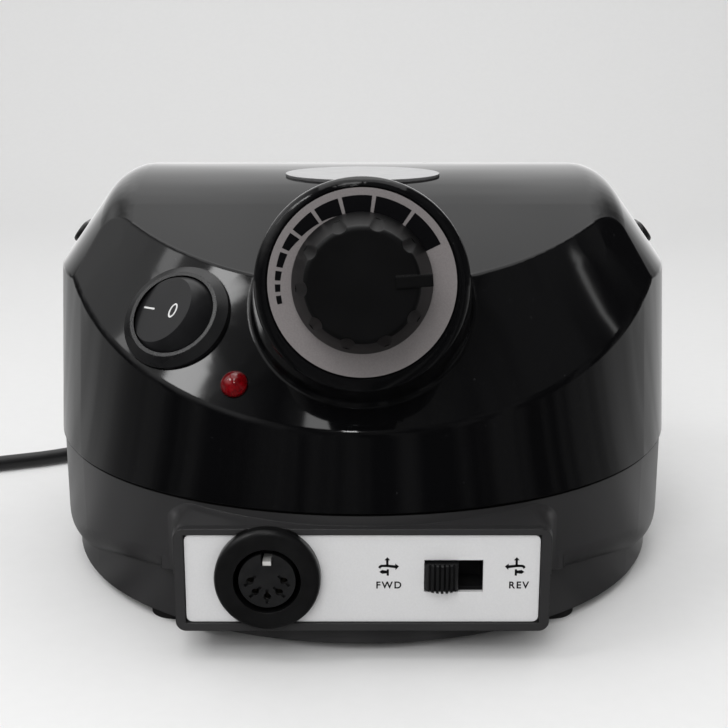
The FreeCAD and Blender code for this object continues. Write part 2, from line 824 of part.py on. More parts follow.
def cheeks(body, name):
    """The wall's forward flare beside and above the block: it bends out of the wall and
    meets the block's front edges."""
    sections = [(sheet.cheek_setback - sheet.block_proud, -sheet.cheek_setback)]
    for turn in CHEEK_TURNS:
        angle = math.radians(turn)
        sections.append((sheet.cheek_start + sheet.cheek_radius * math.sin(angle),
                         sheet.cheek_side + sheet.cheek_radius * (1 - math.cos(angle))))
    low = sheet.cheek_front_low
    high = sheet.plate_low + sheet.plate_height + sheet.block_over - sheet.cheek_setback
    half_width = sheet.plate_width / 2 + sheet.block_side
    last = sections[-1][0]
    sketches = []
    for index, (back, spread) in enumerate(sections):
        share = max(back, 0) / last
        sketch = sketch_on(body, "%s_cheek_%d" % (name, index), "XZ_Plane", str(-back))
        cheek_outline(sketch, half_width + spread, low + share * (sheet.cheek_low - low),
                      high + share * sheet.cheek_rise, sheet.block_round + share * sheet.cheek_round)
        sketches.append(sketch)
    loft(body, name + "_cheeks", sketches, ruled=False)


def cheek_outline(sketch, half_width, low, high, corner):
    """An upright rectangle with two rounded upper corners."""
    quarter = math.pi / 2
    right = Part.Circle(V(half_width - corner, high - corner, 0), V(0, 0, 1), corner)
    left = Part.Circle(V(corner - half_width, high - corner, 0), V(0, 0, 1), corner)
    sketch.addGeometry(Part.LineSegment(V(-half_width, low, 0), V(half_width, low, 0)), False)
    sketch.addGeometry(Part.LineSegment(V(half_width, low, 0), V(half_width, high - corner, 0)), False)
    sketch.addGeometry(Part.ArcOfCircle(right, 0, quarter), False)
    sketch.addGeometry(Part.LineSegment(V(half_width - corner, high, 0), V(corner - half_width, high, 0)), False)
    sketch.addGeometry(Part.ArcOfCircle(left, quarter, 2 * quarter), False)
    sketch.addGeometry(Part.LineSegment(V(-half_width, high - corner, 0), V(-half_width, low, 0)), False)


def lift_outline(sketch, low, lifted):
    """Everything under the belly, whose underside rises to the front in two even bends."""
    start = sheet.belly_lift_start
    end = sheet.belly_lift_end
    length = end - start
    radius = (length ** 2 + (lifted - low) ** 2) / (4 * (lifted - low))
    half_turn = math.asin(length / 2 / radius)
    upper_ring = Part.Circle(V(start, lifted - radius, 0), V(0, 0, 1), radius)
    lower_ring = Part.Circle(V(end, low + radius, 0), V(0, 0, 1), radius)
    up = math.pi / 2
    sketch.addGeometry(Part.ArcOfCircle(upper_ring, up - half_turn, up), False)
    sketch.addGeometry(Part.ArcOfCircle(lower_ring, -up - half_turn, -up), False)
    sketch.addGeometry(Part.LineSegment(V(end, low, 0), V(end, 0, 0)), False)
    sketch.addGeometry(Part.LineSegment(V(end, 0, 0), V(-start, 0, 0)), False)
    sketch.addGeometry(Part.LineSegment(V(-start, 0, 0), V(-start, lifted, 0)), False)
    sketch.addGeometry(Part.LineSegment(V(-start, lifted, 0), V(start, lifted, 0)), False)


def is_belly_edge(point, edge):
    """Edges round the underside, without the lines that cross the box and the tall ones."""
    across = edge.Curve.TypeId == "Part::GeomLine" and edge.BoundBox.YLength < 0.01 and point.y < 100
    return point.z < sheet.seam_height - 8 and not across and edge.BoundBox.ZLength < sheet.belly_lift + 1


def is_block_corner(point, edge, hollow):
    """The block's four long edges, which run back from its face."""
    wide = sheet.plate_width / 2 + sheet.block_side - (sheet.wall if hollow else 0)
    straight = edge.Curve.TypeId == "Part::GeomLine" and edge.BoundBox.YLength > 3
    return straight and abs(abs(point.x) - wide) < 0.01 and edge.BoundBox.ZLength < 0.01 and point.y < 14


def seam_lip():
    """A thin rim inside the wall that stands up into the upper shell."""
    outer = sheet.wall + sheet.lip_clearance
    body = new_body("seam_lip")
    plan = plan_at(body, "lip_outside", "seam_height - 2 * lip_height", outer)
    pad(body, "lip", plan, "3 * lip_height")
    inner = plan_at(body, "lip_inside", "seam_height - 3 * lip_height", outer + sheet.lip_thickness)
    pocket(body, "lip_hollow", inner, "5 * lip_height", reverse=True)
    return body


def rear_hole(name, x, radius):
    return on_rear(cylinder(name, radius, "6 * wall", "0", "0", "0"), x, "rear_item_height", "0 - 4 * wall")


def lower_shell():
    skin = cut("lower_skin", lower_form("lower_outside", False), [lower_form("lower_inside", True)])
    parts = [skin, seam_lip()]
    tools = []
    for index, (x, y) in enumerate(POST_PLACES):
        parts.append(cylinder("lower_post_%d" % index, "post_diameter / 2",
                              "seam_height - base_height", x, y, "base_height"))
        tools.append(cylinder("lower_screw_hole_%d" % index, "screw_diameter / 2 + running_clearance",
                              "seam_height + wall", x, y, "0"))
        tools.append(cylinder("lower_head_hole_%d" % index, "screw_head / 2 + running_clearance",
                              "head_depth", x, y, "0"))
    for index, (x, y) in enumerate(BOARD_PLACES):
        parts.append(cylinder("board_post_%d" % index, "board_post / 2",
                              "board_height - base_height - wall / 2", x, y, "base_height + wall / 2"))
        tools.append(cylinder("board_pilot_%d" % index, "board_screw / 2 + running_clearance",
                              "board_height", x, y, "base_height + wall"))
    for index, x in enumerate(BRACKET_PLACES):
        parts.append(cylinder("bracket_post_%d" % index, "board_post",
                              "bracket_height - base_height - wall / 2", x, "transformer_y", "base_height + wall / 2"))
        tools.append(cylinder("bracket_pilot_%d" % index, "screw_diameter / 2 + running_clearance",
                              "bracket_height", x, "transformer_y", "base_height + wall"))
    for index, (x, y) in enumerate(FOOT_PLACES):
        tools.append(cylinder("foot_seat_%d" % index, "foot_diameter / 2 + running_clearance",
                              "base_height + foot_recess", x, y, "0"))
    plate = block("plate_seat", "plate_width + 2 * plate_clearance", "2 * plate_thickness + block_proud",
                  "plate_height + 2 * plate_clearance", "0", "0 - block_proud / 2", "plate_low - plate_clearance")
    tools.append(plate)
    barrel = cylinder("socket_hole", "socket_barrel / 2 + running_clearance", "6 * wall", "0", "0", "0")
    tools.append(on_front(barrel, "socket_x", "socket_height", "0 - 5 * wall"))
    flange = cylinder("flange_seat", "flange_diameter / 2 + small_gap", "2 * block_proud", "0", "0", "0")
    tools.append(on_front(flange, "socket_x", "socket_height"))
    tools.append(block("switch_hole", "window_width + 2 * small_gap", "8 * wall", "window_tall + 2 * small_gap",
                       "window_x", "0", "window_height - window_tall / 2 - small_gap"))
    tools.append(rear_hole("cord_hole", "cord_x", "relief_diameter / 2 + running_clearance"))
    tools.append(rear_hole("fuse_hole", "fuse_x", "fuse_diameter / 2 + running_clearance"))
    tools.append(rear_hole("jack_hole", "pedal_x", "jack_diameter / 2 + running_clearance"))
    tools.append(block("mode_hole", "mode_width + mode_travel + 2 * small_gap", "8 * wall",
                       "mode_tall + 2 * small_gap", "mode_x", "housing_depth",
                       "rear_item_height - mode_tall / 2 - small_gap"))
    return cut("lower_shell", fuse("lower_walls", parts), tools)


BOARD_PLACES = [("board_x %s (board_width / 2 - board_inset)" % a, "board_y %s (board_length / 2 - board_inset)" % b)
                for a in "+-" for b in "+-"]
BRACKET_PLACES = ["transformer_x %s (core_width / 2 + bracket_foot)" % a for a in "+-"]
FOOT_PLACES = [("0 %s foot_x" % a, b) for a in "+-" for b in ("foot_front_y", "foot_rear_y")]


# Front plate, socket and direction switch

def front_plate():
    body = free_body("front_plate")
    face = sketch_on(body, "plate_outline", "XY_Plane", "0 - plate_thickness")
    rectangle(face, "plate_width", "plate_height")
    plate = pad(body, "plate", face, "plate_thickness")
    corners = edges_where(plate, lambda point, edge: edge.BoundBox.ZLength > sheet.plate_thickness / 2)
    fillet(body, "plate_corners", plate, corners, "plate_corner")
    holes = sketch_on(body, "plate_holes", "XY_Plane")
    middle = "plate_low - plate_height / 2"
    circle(holes, "socket_barrel / 2 + running_clearance", "socket_x", "socket_height - " + middle)
    rectangle(holes, "window_width", "window_tall", "window_x", "window_height - " + middle)
    pocket(body, "plate_cut", holes)
    return on_front(body, "0", "plate_low + plate_height / 2")


def handpiece_socket():
    """A turned metal collar with a rounded flange in front of the plate."""
    body = free_body("handpiece_socket")
    flange = sheet.flange_diameter / 2
    barrel = sheet.socket_barrel / 2
    well = sheet.socket_bore / 2
    front = sheet.flange_thickness
    back = -sheet.socket_length
    half_section(body, "collar", [(well, back), (barrel, back), (barrel, 0), (flange, 0), (flange, front), (well, front)])
    collar = body.Tip
    rim = edges_where(collar, lambda point, edge: point.z > front - 0.01 and point.Length > flange - 1)
    fillet(body, "flange_edge", collar, rim, "flange_round")
    return on_front(body, "socket_x", "socket_height")


def contact_angles():
    return [180, 225, 270, 315, 0]


def slot_leans():
    return [225, 225, 270, 315, 315]


def contact_circles(sketch, radius):
    for angle in contact_angles():
        circle(sketch, radius, "contact_circle / 2 * cos(%ddeg)" % angle, "contact_circle / 2 * sin(%ddeg)" % angle)


def socket_core():
    """The insulating core: a web across the back, a plug-shaped core and five contact holes."""
    body = free_body("socket_core")
    disc(body, "web", "socket_bore / 2", "0 - socket_length", "wall")
    disc(body, "core", "core_diameter / 2", "0 - socket_length + wall / 2",
         "socket_length - wall / 2 + flange_thickness - core_recess")
    key = sketch_on(body, "key_face", "XY_Plane", "flange_thickness")
    rectangle(key, "key_width", "2 * key_depth", "0", "core_diameter / 2")
    pocket(body, "key", key, "core_recess + key_reach")
    holes = sketch_on(body, "contact_hole_circles", "XY_Plane", "0 - socket_length - wall")
    contact_circles(holes, "contact_diameter / 2 + running_clearance")
    pocket(body, "contact_holes", holes, "socket_length + wall + flange_thickness - core_recess - mouth_depth",
           reverse=True)
    mouths = sketch_on(body, "mouth_circles", "XY_Plane", "flange_thickness")
    contact_circles(mouths, "mouth_diameter / 2")
    pocket(body, "mouths", mouths, "core_recess + 2 * mouth_depth")
    slots = sketch_on(body, "mouth_slots", "XY_Plane", "flange_thickness")
    for angle, lean in zip(contact_angles(), slot_leans()):
        mouth_slot(slots, math.radians(angle), math.radians(lean))
    pocket(body, "slots", slots, "core_recess + slot_depth")
    return on_front(body, "socket_x", "socket_height")


def mouth_slot(sketch, angle, lean):
    """A narrow slot across one contact's mouth."""
    middle = V(math.cos(angle), math.sin(angle), 0) * (sheet.contact_circle / 2)
    along = V(math.cos(lean), math.sin(lean), 0) * (sheet.slot_length / 2)
    across = V(-math.sin(lean), math.cos(lean), 0) * (sheet.slot_width / 2)
    corners = [middle - along - across, middle + along - across, middle + along + across, middle - along + across]
    outline(sketch, [(corner.x, corner.y) for corner in corners])


def socket_contacts():
    body = free_body("socket_contacts")
    tubes = sketch_on(body, "contact_outsides", "XY_Plane", "0 - socket_length - contact_tail")
    contact_circles(tubes, "contact_diameter / 2")
    pad(body, "contacts", tubes, "socket_length + contact_tail + flange_thickness - core_recess - mouth_depth"
        " - running_clearance")
    holes = sketch_on(body, "contact_insides", "XY_Plane", "flange_thickness")
    contact_circles(holes, "contact_bore / 2")
    pocket(body, "contact_bores", holes, "flange_thickness + socket_length / 2")
    return on_front(body, "socket_x", "socket_height")


def socket_earth_tab():
    """A small sprung tab in the key slot."""
    tab = block("socket_earth_tab", "key_width - 2 * small_gap", "key_reach - 2 * small_gap", "key_depth / 3",
                "0", "0", "0")
    place(tab, "socket_x - key_width / 2 + small_gap", "core_recess - flange_thickness + small_gap",
          "socket_height + core_diameter / 2 - key_depth + running_clearance")
    return tab


def direction_switch_frame():
    """A slide switch body behind the plate, with a slot for its slider."""
    shell_back = "block_wall"
    outer = block("switch_outer", "window_width + 2 * switch_rim", "switch_depth", "window_tall + switch_rim",
                  "window_x", "%s + switch_depth / 2" % shell_back,
                  "window_height - (window_tall + switch_rim) / 2")
    track = block("switch_track", "slider_width + slider_travel + 2 * small_gap", "switch_depth - wall",
                  "slider_tall", "window_x", "%s + (switch_depth - wall) / 2 - small_gap" % shell_back,
                  "window_height - slider_tall / 2")
    return cut("direction_switch_frame", outer, [track])


def direction_slider():
    """A thumb slider with a domed, ribbed face; it stands at the left end of its slot."""
    tall = "slider_tall - 2 * small_gap"
    reach = "block_wall + switch_depth - wall - 2 * small_gap"
    stem = block("slider_stem", "slider_width", reach, tall, "slider_x", "(%s) / 2" % reach,
                 "window_height - (%s) / 2" % tall)
    dome = doc.addObject("Part::Cylinder", "slider_dome")
    bind(dome, Radius="slider_dome", Height=tall)
    place(dome, "slider_x", "slider_dome - slider_proud", "window_height - (%s) / 2" % tall)
    limit = block("slider_limit", "slider_width", "slider_proud + small_gap", tall, "slider_x",
                  "0 - (slider_proud - small_gap) / 2", "window_height - (%s) / 2" % tall)
    face = doc.addObject("Part::Common", "slider_face")
    face.Base = dome
    face.Tool = limit
    grooves = []
    count = int(sheet.rib_count)
    for index in range(count):
        x = "slider_x + slider_width * (%d - (rib_count - 1) / 2) / (rib_count + 1)" % index
        grooves.append(block("slider_groove_%d" % index, "rib_groove", "slider_proud + rib_groove",
                             "2 * slider_tall", x, "0 - slider_proud", "window_height - slider_tall"))
    return cut("direction_slider", fuse("slider_blank", [stem, face]), grooves)


def direction_switch_terminals():
    tabs = []
    for index in range(3):
        x = "window_x + %d * terminal_pitch" % (index - 1)
        tabs.append(block("switch_terminal_%d" % index, "terminal_width", "terminal_length", "terminal_thickness", x,
                          "block_wall + switch_depth + terminal_length / 2", "window_height"))
    return group("direction_switch_terminals", tabs)


# Speed dial

def dial_label():
    body = free_body("dial_label")
    disc(body, "label", "label_radius", "0", "label_thickness")
    bore(body, "label_hole", "bush_diameter / 2 + small_gap", "label_thickness", "2 * label_thickness")
    return on_dial(body, "0 - label_thickness")


def speed_knob():
    """A tapered knob with hollow flutes round its side, one place of which holds the pointer."""
    body = free_body("speed_knob")
    low = sheet.knob_lift
    high = low + sheet.knob_height
    base = sheet.knob_radius
    crown = sheet.knob_top_radius
    half_section(body, "cone", [(0, low), (base, low), (base, low + 1), (crown, high), (0, high)])
    cone = body.Tip
    rim = edges_where(cone, lambda point, edge: point.z > high - 0.01)
    fillet(body, "crown_edge", cone, rim, "knob_round")
    pointer = sketch_on(body, "pointer_outline", "XY_Plane", "knob_lift + 1")
    reach = "(pointer_end - pointer_start)"
    rectangle(pointer, reach, "pointer_width", "pointer_start + %s / 2" % reach)
    pad(body, "pointer", pointer, "knob_height - 1 + pointer_proud")
    bore(body, "nut_room", "nut_width / 2 * 1.155 + 2 * small_gap", "knob_lift + nut_thickness + wall",
         "nut_thickness + 2 * wall")
    bore(body, "shaft_bore", "shaft_diameter / 2 + shaft_clearance", "shaft_top", "shaft_top")
    lean = math.degrees(math.atan((base - crown) / (high - low - 1)))
    flute_end = low + sheet.flute_rise
    slope = (base - crown) / (high - low - 1)
    end_radius = base - (flute_end - low - 1) * slope + sheet.flute_radius
    top_radius = crown + sheet.flute_radius - sheet.flute_depth
    slant = math.degrees(math.atan((end_radius - top_radius) / (high - flute_end)))
    turn = TURN(V(0, 0, 1), 360 / sheet.flute_places) * TURN(V(0, 1, 0), -slant)
    flute = sketch_on(body, "flute_circle", "XY_Plane", None, turn)
    angle = math.radians(360 / sheet.flute_places)
    flute.AttachmentOffset = FreeCAD.Placement(V(top_radius * math.cos(angle), top_radius * math.sin(angle), high), turn)
    circle(flute, "flute_radius")
    first = pocket(body, "flute", flute, "knob_height * 1.2")
    first.Midplane = True
    row = body.newObject("PartDesign::PolarPattern", "flutes")
    row.Originals = [first]
    row.Axis = (body.Origin.OriginFeatures[2], [""])
    row.Angle = 360 - 2 * 360 / sheet.flute_places
    row.Occurrences = int(sheet.flute_places) - 1
    body.Tip = row
    on_dial(body)
    body.Placement = FreeCAD.Placement(body.Placement.Base, DIAL_TURN * TURN(V(0, 0, 1), sheet.pointer_angle))
    return body


def potentiometer():
    """The control's round can and its threaded bush, which comes through the turret's face."""
    body = free_body("potentiometer")
    disc(body, "can", "pot_diameter / 2", "0 - wall - pot_depth", "pot_depth")
    disc(body, "bush", "bush_diameter / 2", "0 - wall", "wall + bush_height")
    bore(body, "bush_bore", "shaft_diameter / 2 + shaft_clearance", "bush_height", "bush_height + wall + pot_depth / 2")
    return on_dial(body)


def potentiometer_shaft():
    length = "shaft_top + wall + pot_depth / 2 - 2 * small_gap"
    shaft = cylinder("potentiometer_shaft", "shaft_diameter / 2", length, "0", "0", "0")
    return on_dial(shaft, "0 - wall - pot_depth / 2 + small_gap")


def potentiometer_nut():
    body = free_body("potentiometer_nut")
    hexagon = sketch_on(body, "nut_outline", "XY_Plane")
    corner = sheet.nut_width / math.sqrt(3)
    sixth = math.radians(60)
    outline(hexagon, [(corner * math.cos(sixth * k), corner * math.sin(sixth * k)) for k in range(6)])
    pad(body, "nut", hexagon, "nut_thickness")
    bore(body, "nut_bore", "bush_diameter / 2 + running_clearance", "nut_thickness", "2 * nut_thickness")
    return on_dial(body)


def potentiometer_terminals():
    body = free_body("potentiometer_terminals")
    tabs = sketch_on(body, "tab_outlines", "XY_Plane", "0 - wall - pot_depth + terminal_thickness")
    for index in range(3):
        rectangle(tabs, "terminal_width", "terminal_length", "%d * terminal_pitch" % (index - 1),
                  "0 - pot_diameter / 2 - terminal_length / 2 * 0.6")
    pad(body, "tabs", tabs, "terminal_thickness")
    can = sketch_on(body, "can_room", "XY_Plane", "0")
    circle(can, "pot_diameter / 2 + running_clearance")
    pocket(body, "can_cut", can)
    return on_dial(body)


# Power rocker on the band

def rocker_ball():
    return math.hypot(sheet.paddle_face_radius, sheet.pivot_depth + sheet.paddle_rise)


def rocker_housing():
    """A round bezel and barrel with a spherical seat for the rocker."""
    body = free_body("rocker_housing")
    top = sheet.bezel_rise
    seat = -sheet.bezel_seat
    pivot = top - sheet.pivot_depth
    room = rocker_ball() + sheet.small_gap
    mouth = math.sqrt(room ** 2 - sheet.pivot_depth ** 2)
    bottom = seat - sheet.rocker_length
    outer = sheet.bezel_radius
    barrel = sheet.rocker_barrel
    sketch = sketch_on(body, "housing_section", "XZ_Plane")
    floor = pivot - sheet.rocker_room
    points = [(mouth, top), (mouth + sheet.bezel_flat, top), (outer, sheet.bezel_edge), (outer, seat), (barrel, seat),
              (barrel, bottom), (0, bottom), (0, floor), (room, floor), (room, pivot)]
    for start, end in zip(points, points[1:]):
        sketch.addGeometry(Part.LineSegment(V(*start, 0), V(*end, 0)), False)
    ring = Part.Circle(V(0, pivot, 0), V(0, 0, 1), room)
    sketch.addGeometry(Part.ArcOfCircle(ring, 0, math.asin(sheet.pivot_depth / room)), False)
    turned(body, "housing", sketch)
    hole = sketch_on(body, "pin_hole_circle", "XZ_Plane")
    circle(hole, "pin_diameter / 2 + running_clearance", "0", "bezel_rise - pivot_depth")
    pocket(body, "pin_hole", hole)
    on_band(body, "rocker_azimuth", ROCKER_HEIGHT, "0", sheet.rocker_turn)
    return body


def on_pivot(item, tilt=0):
    """Places an item at the rocker's pivot, turned about the pin."""
    on_band(item, "rocker_azimuth", ROCKER_HEIGHT, "bezel_rise - pivot_depth", sheet.rocker_turn)
    item.Placement = FreeCAD.Placement(item.Placement.Base, item.Placement.Rotation * TURN(V(0, 1, 0), tilt))
    return item


def rocker_paddle():
    """A ball with a flat face, tipped so that its right side stands up."""
    body = free_body("rocker_paddle")
    ball = rocker_ball()
    face = sheet.pivot_depth + sheet.paddle_rise
    low = math.radians(-12)
    sketch = sketch_on(body, "paddle_section", "XZ_Plane")
    edge = (ball * math.cos(low), ball * math.sin(low))
    points = [edge, (sheet.paddle_tail, -sheet.paddle_depth), (0, -sheet.paddle_depth), (0, face),
              (sheet.paddle_face_radius, face)]
    for start, end in zip(points, points[1:]):
        sketch.addGeometry(Part.LineSegment(V(*start, 0), V(*end, 0)), False)
    ring = Part.Circle(V(0, 0, 0), V(0, 0, 1), ball)
    sketch.addGeometry(Part.ArcOfCircle(ring, low, math.asin(face / ball)), False)
    turned(body, "paddle", sketch)
    hole = sketch_on(body, "paddle_pin_circle", "XZ_Plane")
    circle(hole, "pin_diameter / 2 + running_clearance")
    pocket(body, "paddle_pin_hole", hole)
    return on_pivot(body, -sheet.paddle_tilt)


def rocker_pin():
    body = free_body("rocker_pin")
    sketch = sketch_on(body, "pin_circle", "XZ_Plane")
    circle(sketch, "pin_diameter / 2")
    pad(body, "pin", sketch, "2 * rocker_barrel - 2 * small_gap", Midplane="1")
    return on_pivot(body)


def rocker_terminals():
    body = free_body("rocker_terminals")
    blades = sketch_on(body, "blade_outlines", "XY_Plane", "0 - bezel_seat - rocker_length - blade_length")
    for x in (-1, 1):
        for y in (-1, 1):
            rectangle(blades, "blade_thickness", "blade_width", "%d * blade_place" % x, "%d * blade_place" % y)
    pad(body, "blades", blades, "blade_length")
    return on_band(body, "rocker_azimuth", ROCKER_HEIGHT, "0", sheet.rocker_turn)


# Power lamp

def led_lens():
    """A domed lens with a shoulder behind the shell."""
    body = free_body("led_lens")
    radius = sheet.lamp_diameter / 2
    inner = sheet.wall + sheet.small_gap
    tail = inner + 2 * radius
    sketch = sketch_on(body, "lens_section", "XZ_Plane")
    straight = sheet.lamp_proud - sheet.lamp_crown
    ring_radius = (radius ** 2 + sheet.lamp_crown ** 2) / (2 * sheet.lamp_crown)
    centre = sheet.lamp_proud - ring_radius
    points = [(radius, straight), (radius, -inner), (radius + 0.6, -inner), (radius + 0.6, -inner - 1),
              (radius - 0.4, -inner - 1), (radius - 0.4, -tail), (0, -tail), (0, sheet.lamp_proud)]
    for start, end in zip(points, points[1:]):
        sketch.addGeometry(Part.LineSegment(V(*start, 0), V(*end, 0)), False)
    ring = Part.Circle(V(0, centre, 0), V(0, 0, 1), ring_radius)
    sketch.addGeometry(Part.ArcOfCircle(ring, math.atan2(straight - centre, radius), math.pi / 2), False)
    turned(body, "lens", sketch)
    return on_band(body, "lamp_azimuth", LAMP_HEIGHT)


def led_leads():
    body = free_body("led_leads")
    ends = sketch_on(body, "lead_circles", "XY_Plane", "0 - wall - small_gap - lamp_diameter - lead_length")
    for side in (-1, 1):
        circle(ends, "lead_diameter / 2", "%d * lead_diameter * 2" % side)
    pad(body, "leads", ends, "lead_length")
    return on_band(body, "lamp_azimuth", LAMP_HEIGHT)


# Badge plate and cradle studs

def badge_plate():
    return badge_blank("badge_plate", 0, "0 - badge_thickness / 2", "badge_thickness")


def holder_stud(name, side):
    """An oval stud on the shoulder with a pin through the shell."""
    body = free_body(name)
    outline_sketch = sketch_on(body, name + "_oval", "XY_Plane")
    half = (sheet.stud_length - sheet.stud_width) / 2
    radius = sheet.stud_width / 2
    quarter = math.pi / 2
    outline_sketch.addGeometry(Part.LineSegment(V(-half, -radius, 0), V(half, -radius, 0)), False)
    right = Part.Circle(V(half, 0, 0), V(0, 0, 1), radius)
    outline_sketch.addGeometry(Part.ArcOfCircle(right, -quarter, quarter), False)
    outline_sketch.addGeometry(Part.LineSegment(V(half, radius, 0), V(-half, radius, 0)), False)
    left = Part.Circle(V(-half, 0, 0), V(0, 0, 1), radius)
    outline_sketch.addGeometry(Part.ArcOfCircle(left, quarter, 3 * quarter), False)
    head = pad(body, name + "_head", outline_sketch, "stud_proud")
    rim = edges_where(head, lambda point, edge: point.z > sheet.stud_proud - 0.01)
    fillet(body, name + "_edge", head, rim, "stud_proud / 3")
    disc(body, name + "_pin", "stud_pin / 2", "0 - wall - 1", "wall + 1.5")
    return on_shoulder(body, side)


# Feet and screws

def rubber_feet():
    feet = [cylinder("foot_%d" % index, "foot_diameter / 2", "base_height + foot_recess", x, y, "0")
            for index, (x, y) in enumerate(FOOT_PLACES)]
    return group("rubber_feet", feet)


def screw(name, radius, head, length, x, y, z, up=True):
    """A plain screw whose head is at z, with its shank above it or below it."""
    body = free_body(name)
    way = "" if up else "0 - "
    disc(body, name + "_head", head, "0" if up else "0", "head_height")
    disc(body, name + "_shank", radius, "0.5" if up else "%s(%s)" % (way, length), length if up else "%s + 0.5" % length)
    return place(body, x, y, z)


def case_screws():
    screws = [screw("case_screw_%d" % index, "screw_diameter / 2", "screw_head / 2",
                    "screw_length - head_depth - 2 * small_gap", x, y, "head_depth - head_height")
              for index, (x, y) in enumerate(POST_PLACES)]
    return group("case_screws", screws)


# Transformer

def transformer_core():
    """A stack of iron sheets with two windows beside its middle leg."""
    stack = block("core_stack", "core_width", "core_stack", "core_tall", "transformer_x", "transformer_y",
                  "bracket_height + bracket_thickness")
    windows = [block("core_window_%d" % side, "core_leg", "2 * core_stack", "core_tall - 2 * core_leg",
                     "transformer_x + %d * core_leg * 1.5" % side, "transformer_y",
                     "bracket_height + bracket_thickness + core_leg") for side in (-1, 1)]
    return cut("transformer_core", stack, windows)


def transformer_windings():
    """The coil round the middle leg, which bulges out of the stack's two faces."""
    low = "bracket_height + bracket_thickness + core_leg + running_clearance"
    tall = "core_tall - 2 * core_leg - 2 * running_clearance"
    leg = "core_width - 4 * core_leg"
    body = free_body("transformer_windings")
    plan = sketch_on(body, "winding_plan", "XY_Plane")
    rectangle(plan, leg + " + 2 * core_leg - 2 * running_clearance", "core_stack + 2 * winding_bulge")
    coil = pad(body, "winding", plan, tall)
    corners = edges_where(coil, lambda point, edge: edge.BoundBox.ZLength > 5)
    fillet(body, "winding_corners", coil, corners, "winding_bulge / 2")
    leg_room = sketch_on(body, "leg_room", "XY_Plane", "core_tall")
    rectangle(leg_room, leg + " + 2 * running_clearance", "core_stack + 2 * running_clearance")
    pocket(body, "leg_hole", leg_room)
    return place(body, "transformer_x", "transformer_y", low)


def transformer_bracket():
    """A sheet metal cradle under the core with a drilled foot at each end."""
    span = "core_width + 4 * bracket_foot"
    plate = block("bracket_plate", span, "core_stack", "bracket_thickness", "transformer_x", "transformer_y",
                  "bracket_height")
    ears = [block("bracket_ear_%d" % side, "bracket_thickness", "core_stack", "core_tall / 2",
                  "transformer_x + %d * (core_width / 2 + bracket_thickness / 2 + running_clearance)" % side,
                  "transformer_y", "bracket_height") for side in (-1, 1)]
    holes = [cylinder("bracket_hole_%d" % index, "screw_diameter / 2 + running_clearance", "4 * wall",
                      x, "transformer_y", "bracket_height - wall") for index, x in enumerate(BRACKET_PLACES)]
    return cut("transformer_bracket", fuse("bracket_sheet", [plate] + ears), holes)


def transformer_screws():
    length = "bracket_height - base_height - 2 * wall"
    return group("transformer_screws",
                 [screw("transformer_screw_%d" % index, "screw_diameter / 2", "screw_head / 2", length,
                        x, "transformer_y", "bracket_height + bracket_thickness", up=False)
                  for index, x in enumerate(BRACKET_PLACES)])


# Control board

def control_board():
    plate = block("board_plate", "board_width", "board_length", "board_thickness", "board_x", "board_y", "board_height")
    holes = [cylinder("board_hole_%d" % index, "board_screw / 2 + running_clearance", "4 * wall", x, y,
                      "board_height - wall") for index, (x, y) in enumerate(BOARD_PLACES)]
    return cut("control_board", plate, holes)


def board_screws():
    length = "board_height - base_height - 2 * wall"
    return group("board_screws",
                 [screw("board_screw_%d" % index, "board_screw / 2", "board_post / 2", length, x, y,
                        "board_height + board_thickness", up=False) for index, (x, y) in enumerate(BOARD_PLACES)])


BOARD_TOP = "board_height + board_thickness"


def smoothing_capacitor():
    body = free_body("smoothing_capacitor")
    can = disc(body, "capacitor_can", "capacitor_diameter / 2", "0", "capacitor_height")
    rim = edges_where(can, lambda point, edge: point.z > sheet.capacitor_height - 0.01)
    fillet(body, "capacitor_edge", can, rim, "0.8")
    return place(body, "board_x - board_width / 4", "board_y + board_length / 4", BOARD_TOP)


def rectifier():
    return block("rectifier", "rectifier_length", "rectifier_thickness", "rectifier_tall",
                 "board_x - board_width / 4", "board_y - board_length / 8", BOARD_TOP)


def heat_sink():
    """A comb of fins that stands along the board's outer side."""
    base = block("sink_base", "sink_base", "sink_length", "sink_tall", "board_x + board_width / 4", "board_y", BOARD_TOP)
    count = int(sheet.fin_count)
    fins = []
    for index in range(count):
        y = "board_y + (sink_length - fin_thickness) * (%d / (fin_count - 1) - 0.5)" % index
        fins.append(block("sink_fin_%d" % index, "fin_reach", "fin_thickness", "sink_tall",
                          "board_x + board_width / 4 + sink_base / 2 + fin_reach / 2", y, BOARD_TOP))
    return fuse("heat_sink", [base] + fins)


def power_transistor():
    """A flat package against the heat sink with three legs down to the board."""
    face = "board_x + board_width / 4 - sink_base / 2"
    package = block("transistor_package", "transistor_thickness", "transistor_width", "transistor_tall",
                    face + " - transistor_thickness / 2", "board_y", BOARD_TOP + " + terminal_length")
    legs = [block("transistor_leg_%d" % index, "terminal_thickness", "terminal_thickness * 1.5", "terminal_length",
                  face + " - transistor_thickness / 2", "board_y + %d * 2.54" % (index - 1), BOARD_TOP)
            for index in range(3)]
    return fuse("power_transistor", [package] + legs)


def board_connectors():
    """Four pin headers along the front edge of the board, each a shrouded box."""
    rows = []
    count = 4
    pitch = "(board_width - 2 * board_inset - board_post - 2 * small_gap) / %d" % count
    width = pitch + " - connector_gap"
    y = "board_y - board_length / 2 + board_inset + connector_depth / 2"
    for index in range(count):
        x = "board_x + %s * (%d - %s)" % (pitch, index, (count - 1) / 2)
        shell = block("connector_%d" % index, width, "connector_depth", "connector_tall", x, y, BOARD_TOP)
        room = block("connector_room_%d" % index, width + " - 2 * connector_wall",
                     "connector_depth - 2 * connector_wall", "connector_tall", x, y, BOARD_TOP + " + connector_wall")
        rows.append(cut("connector_shell_%d" % index, shell, [room]))
    return group("board_connectors", rows)


# Rear panel

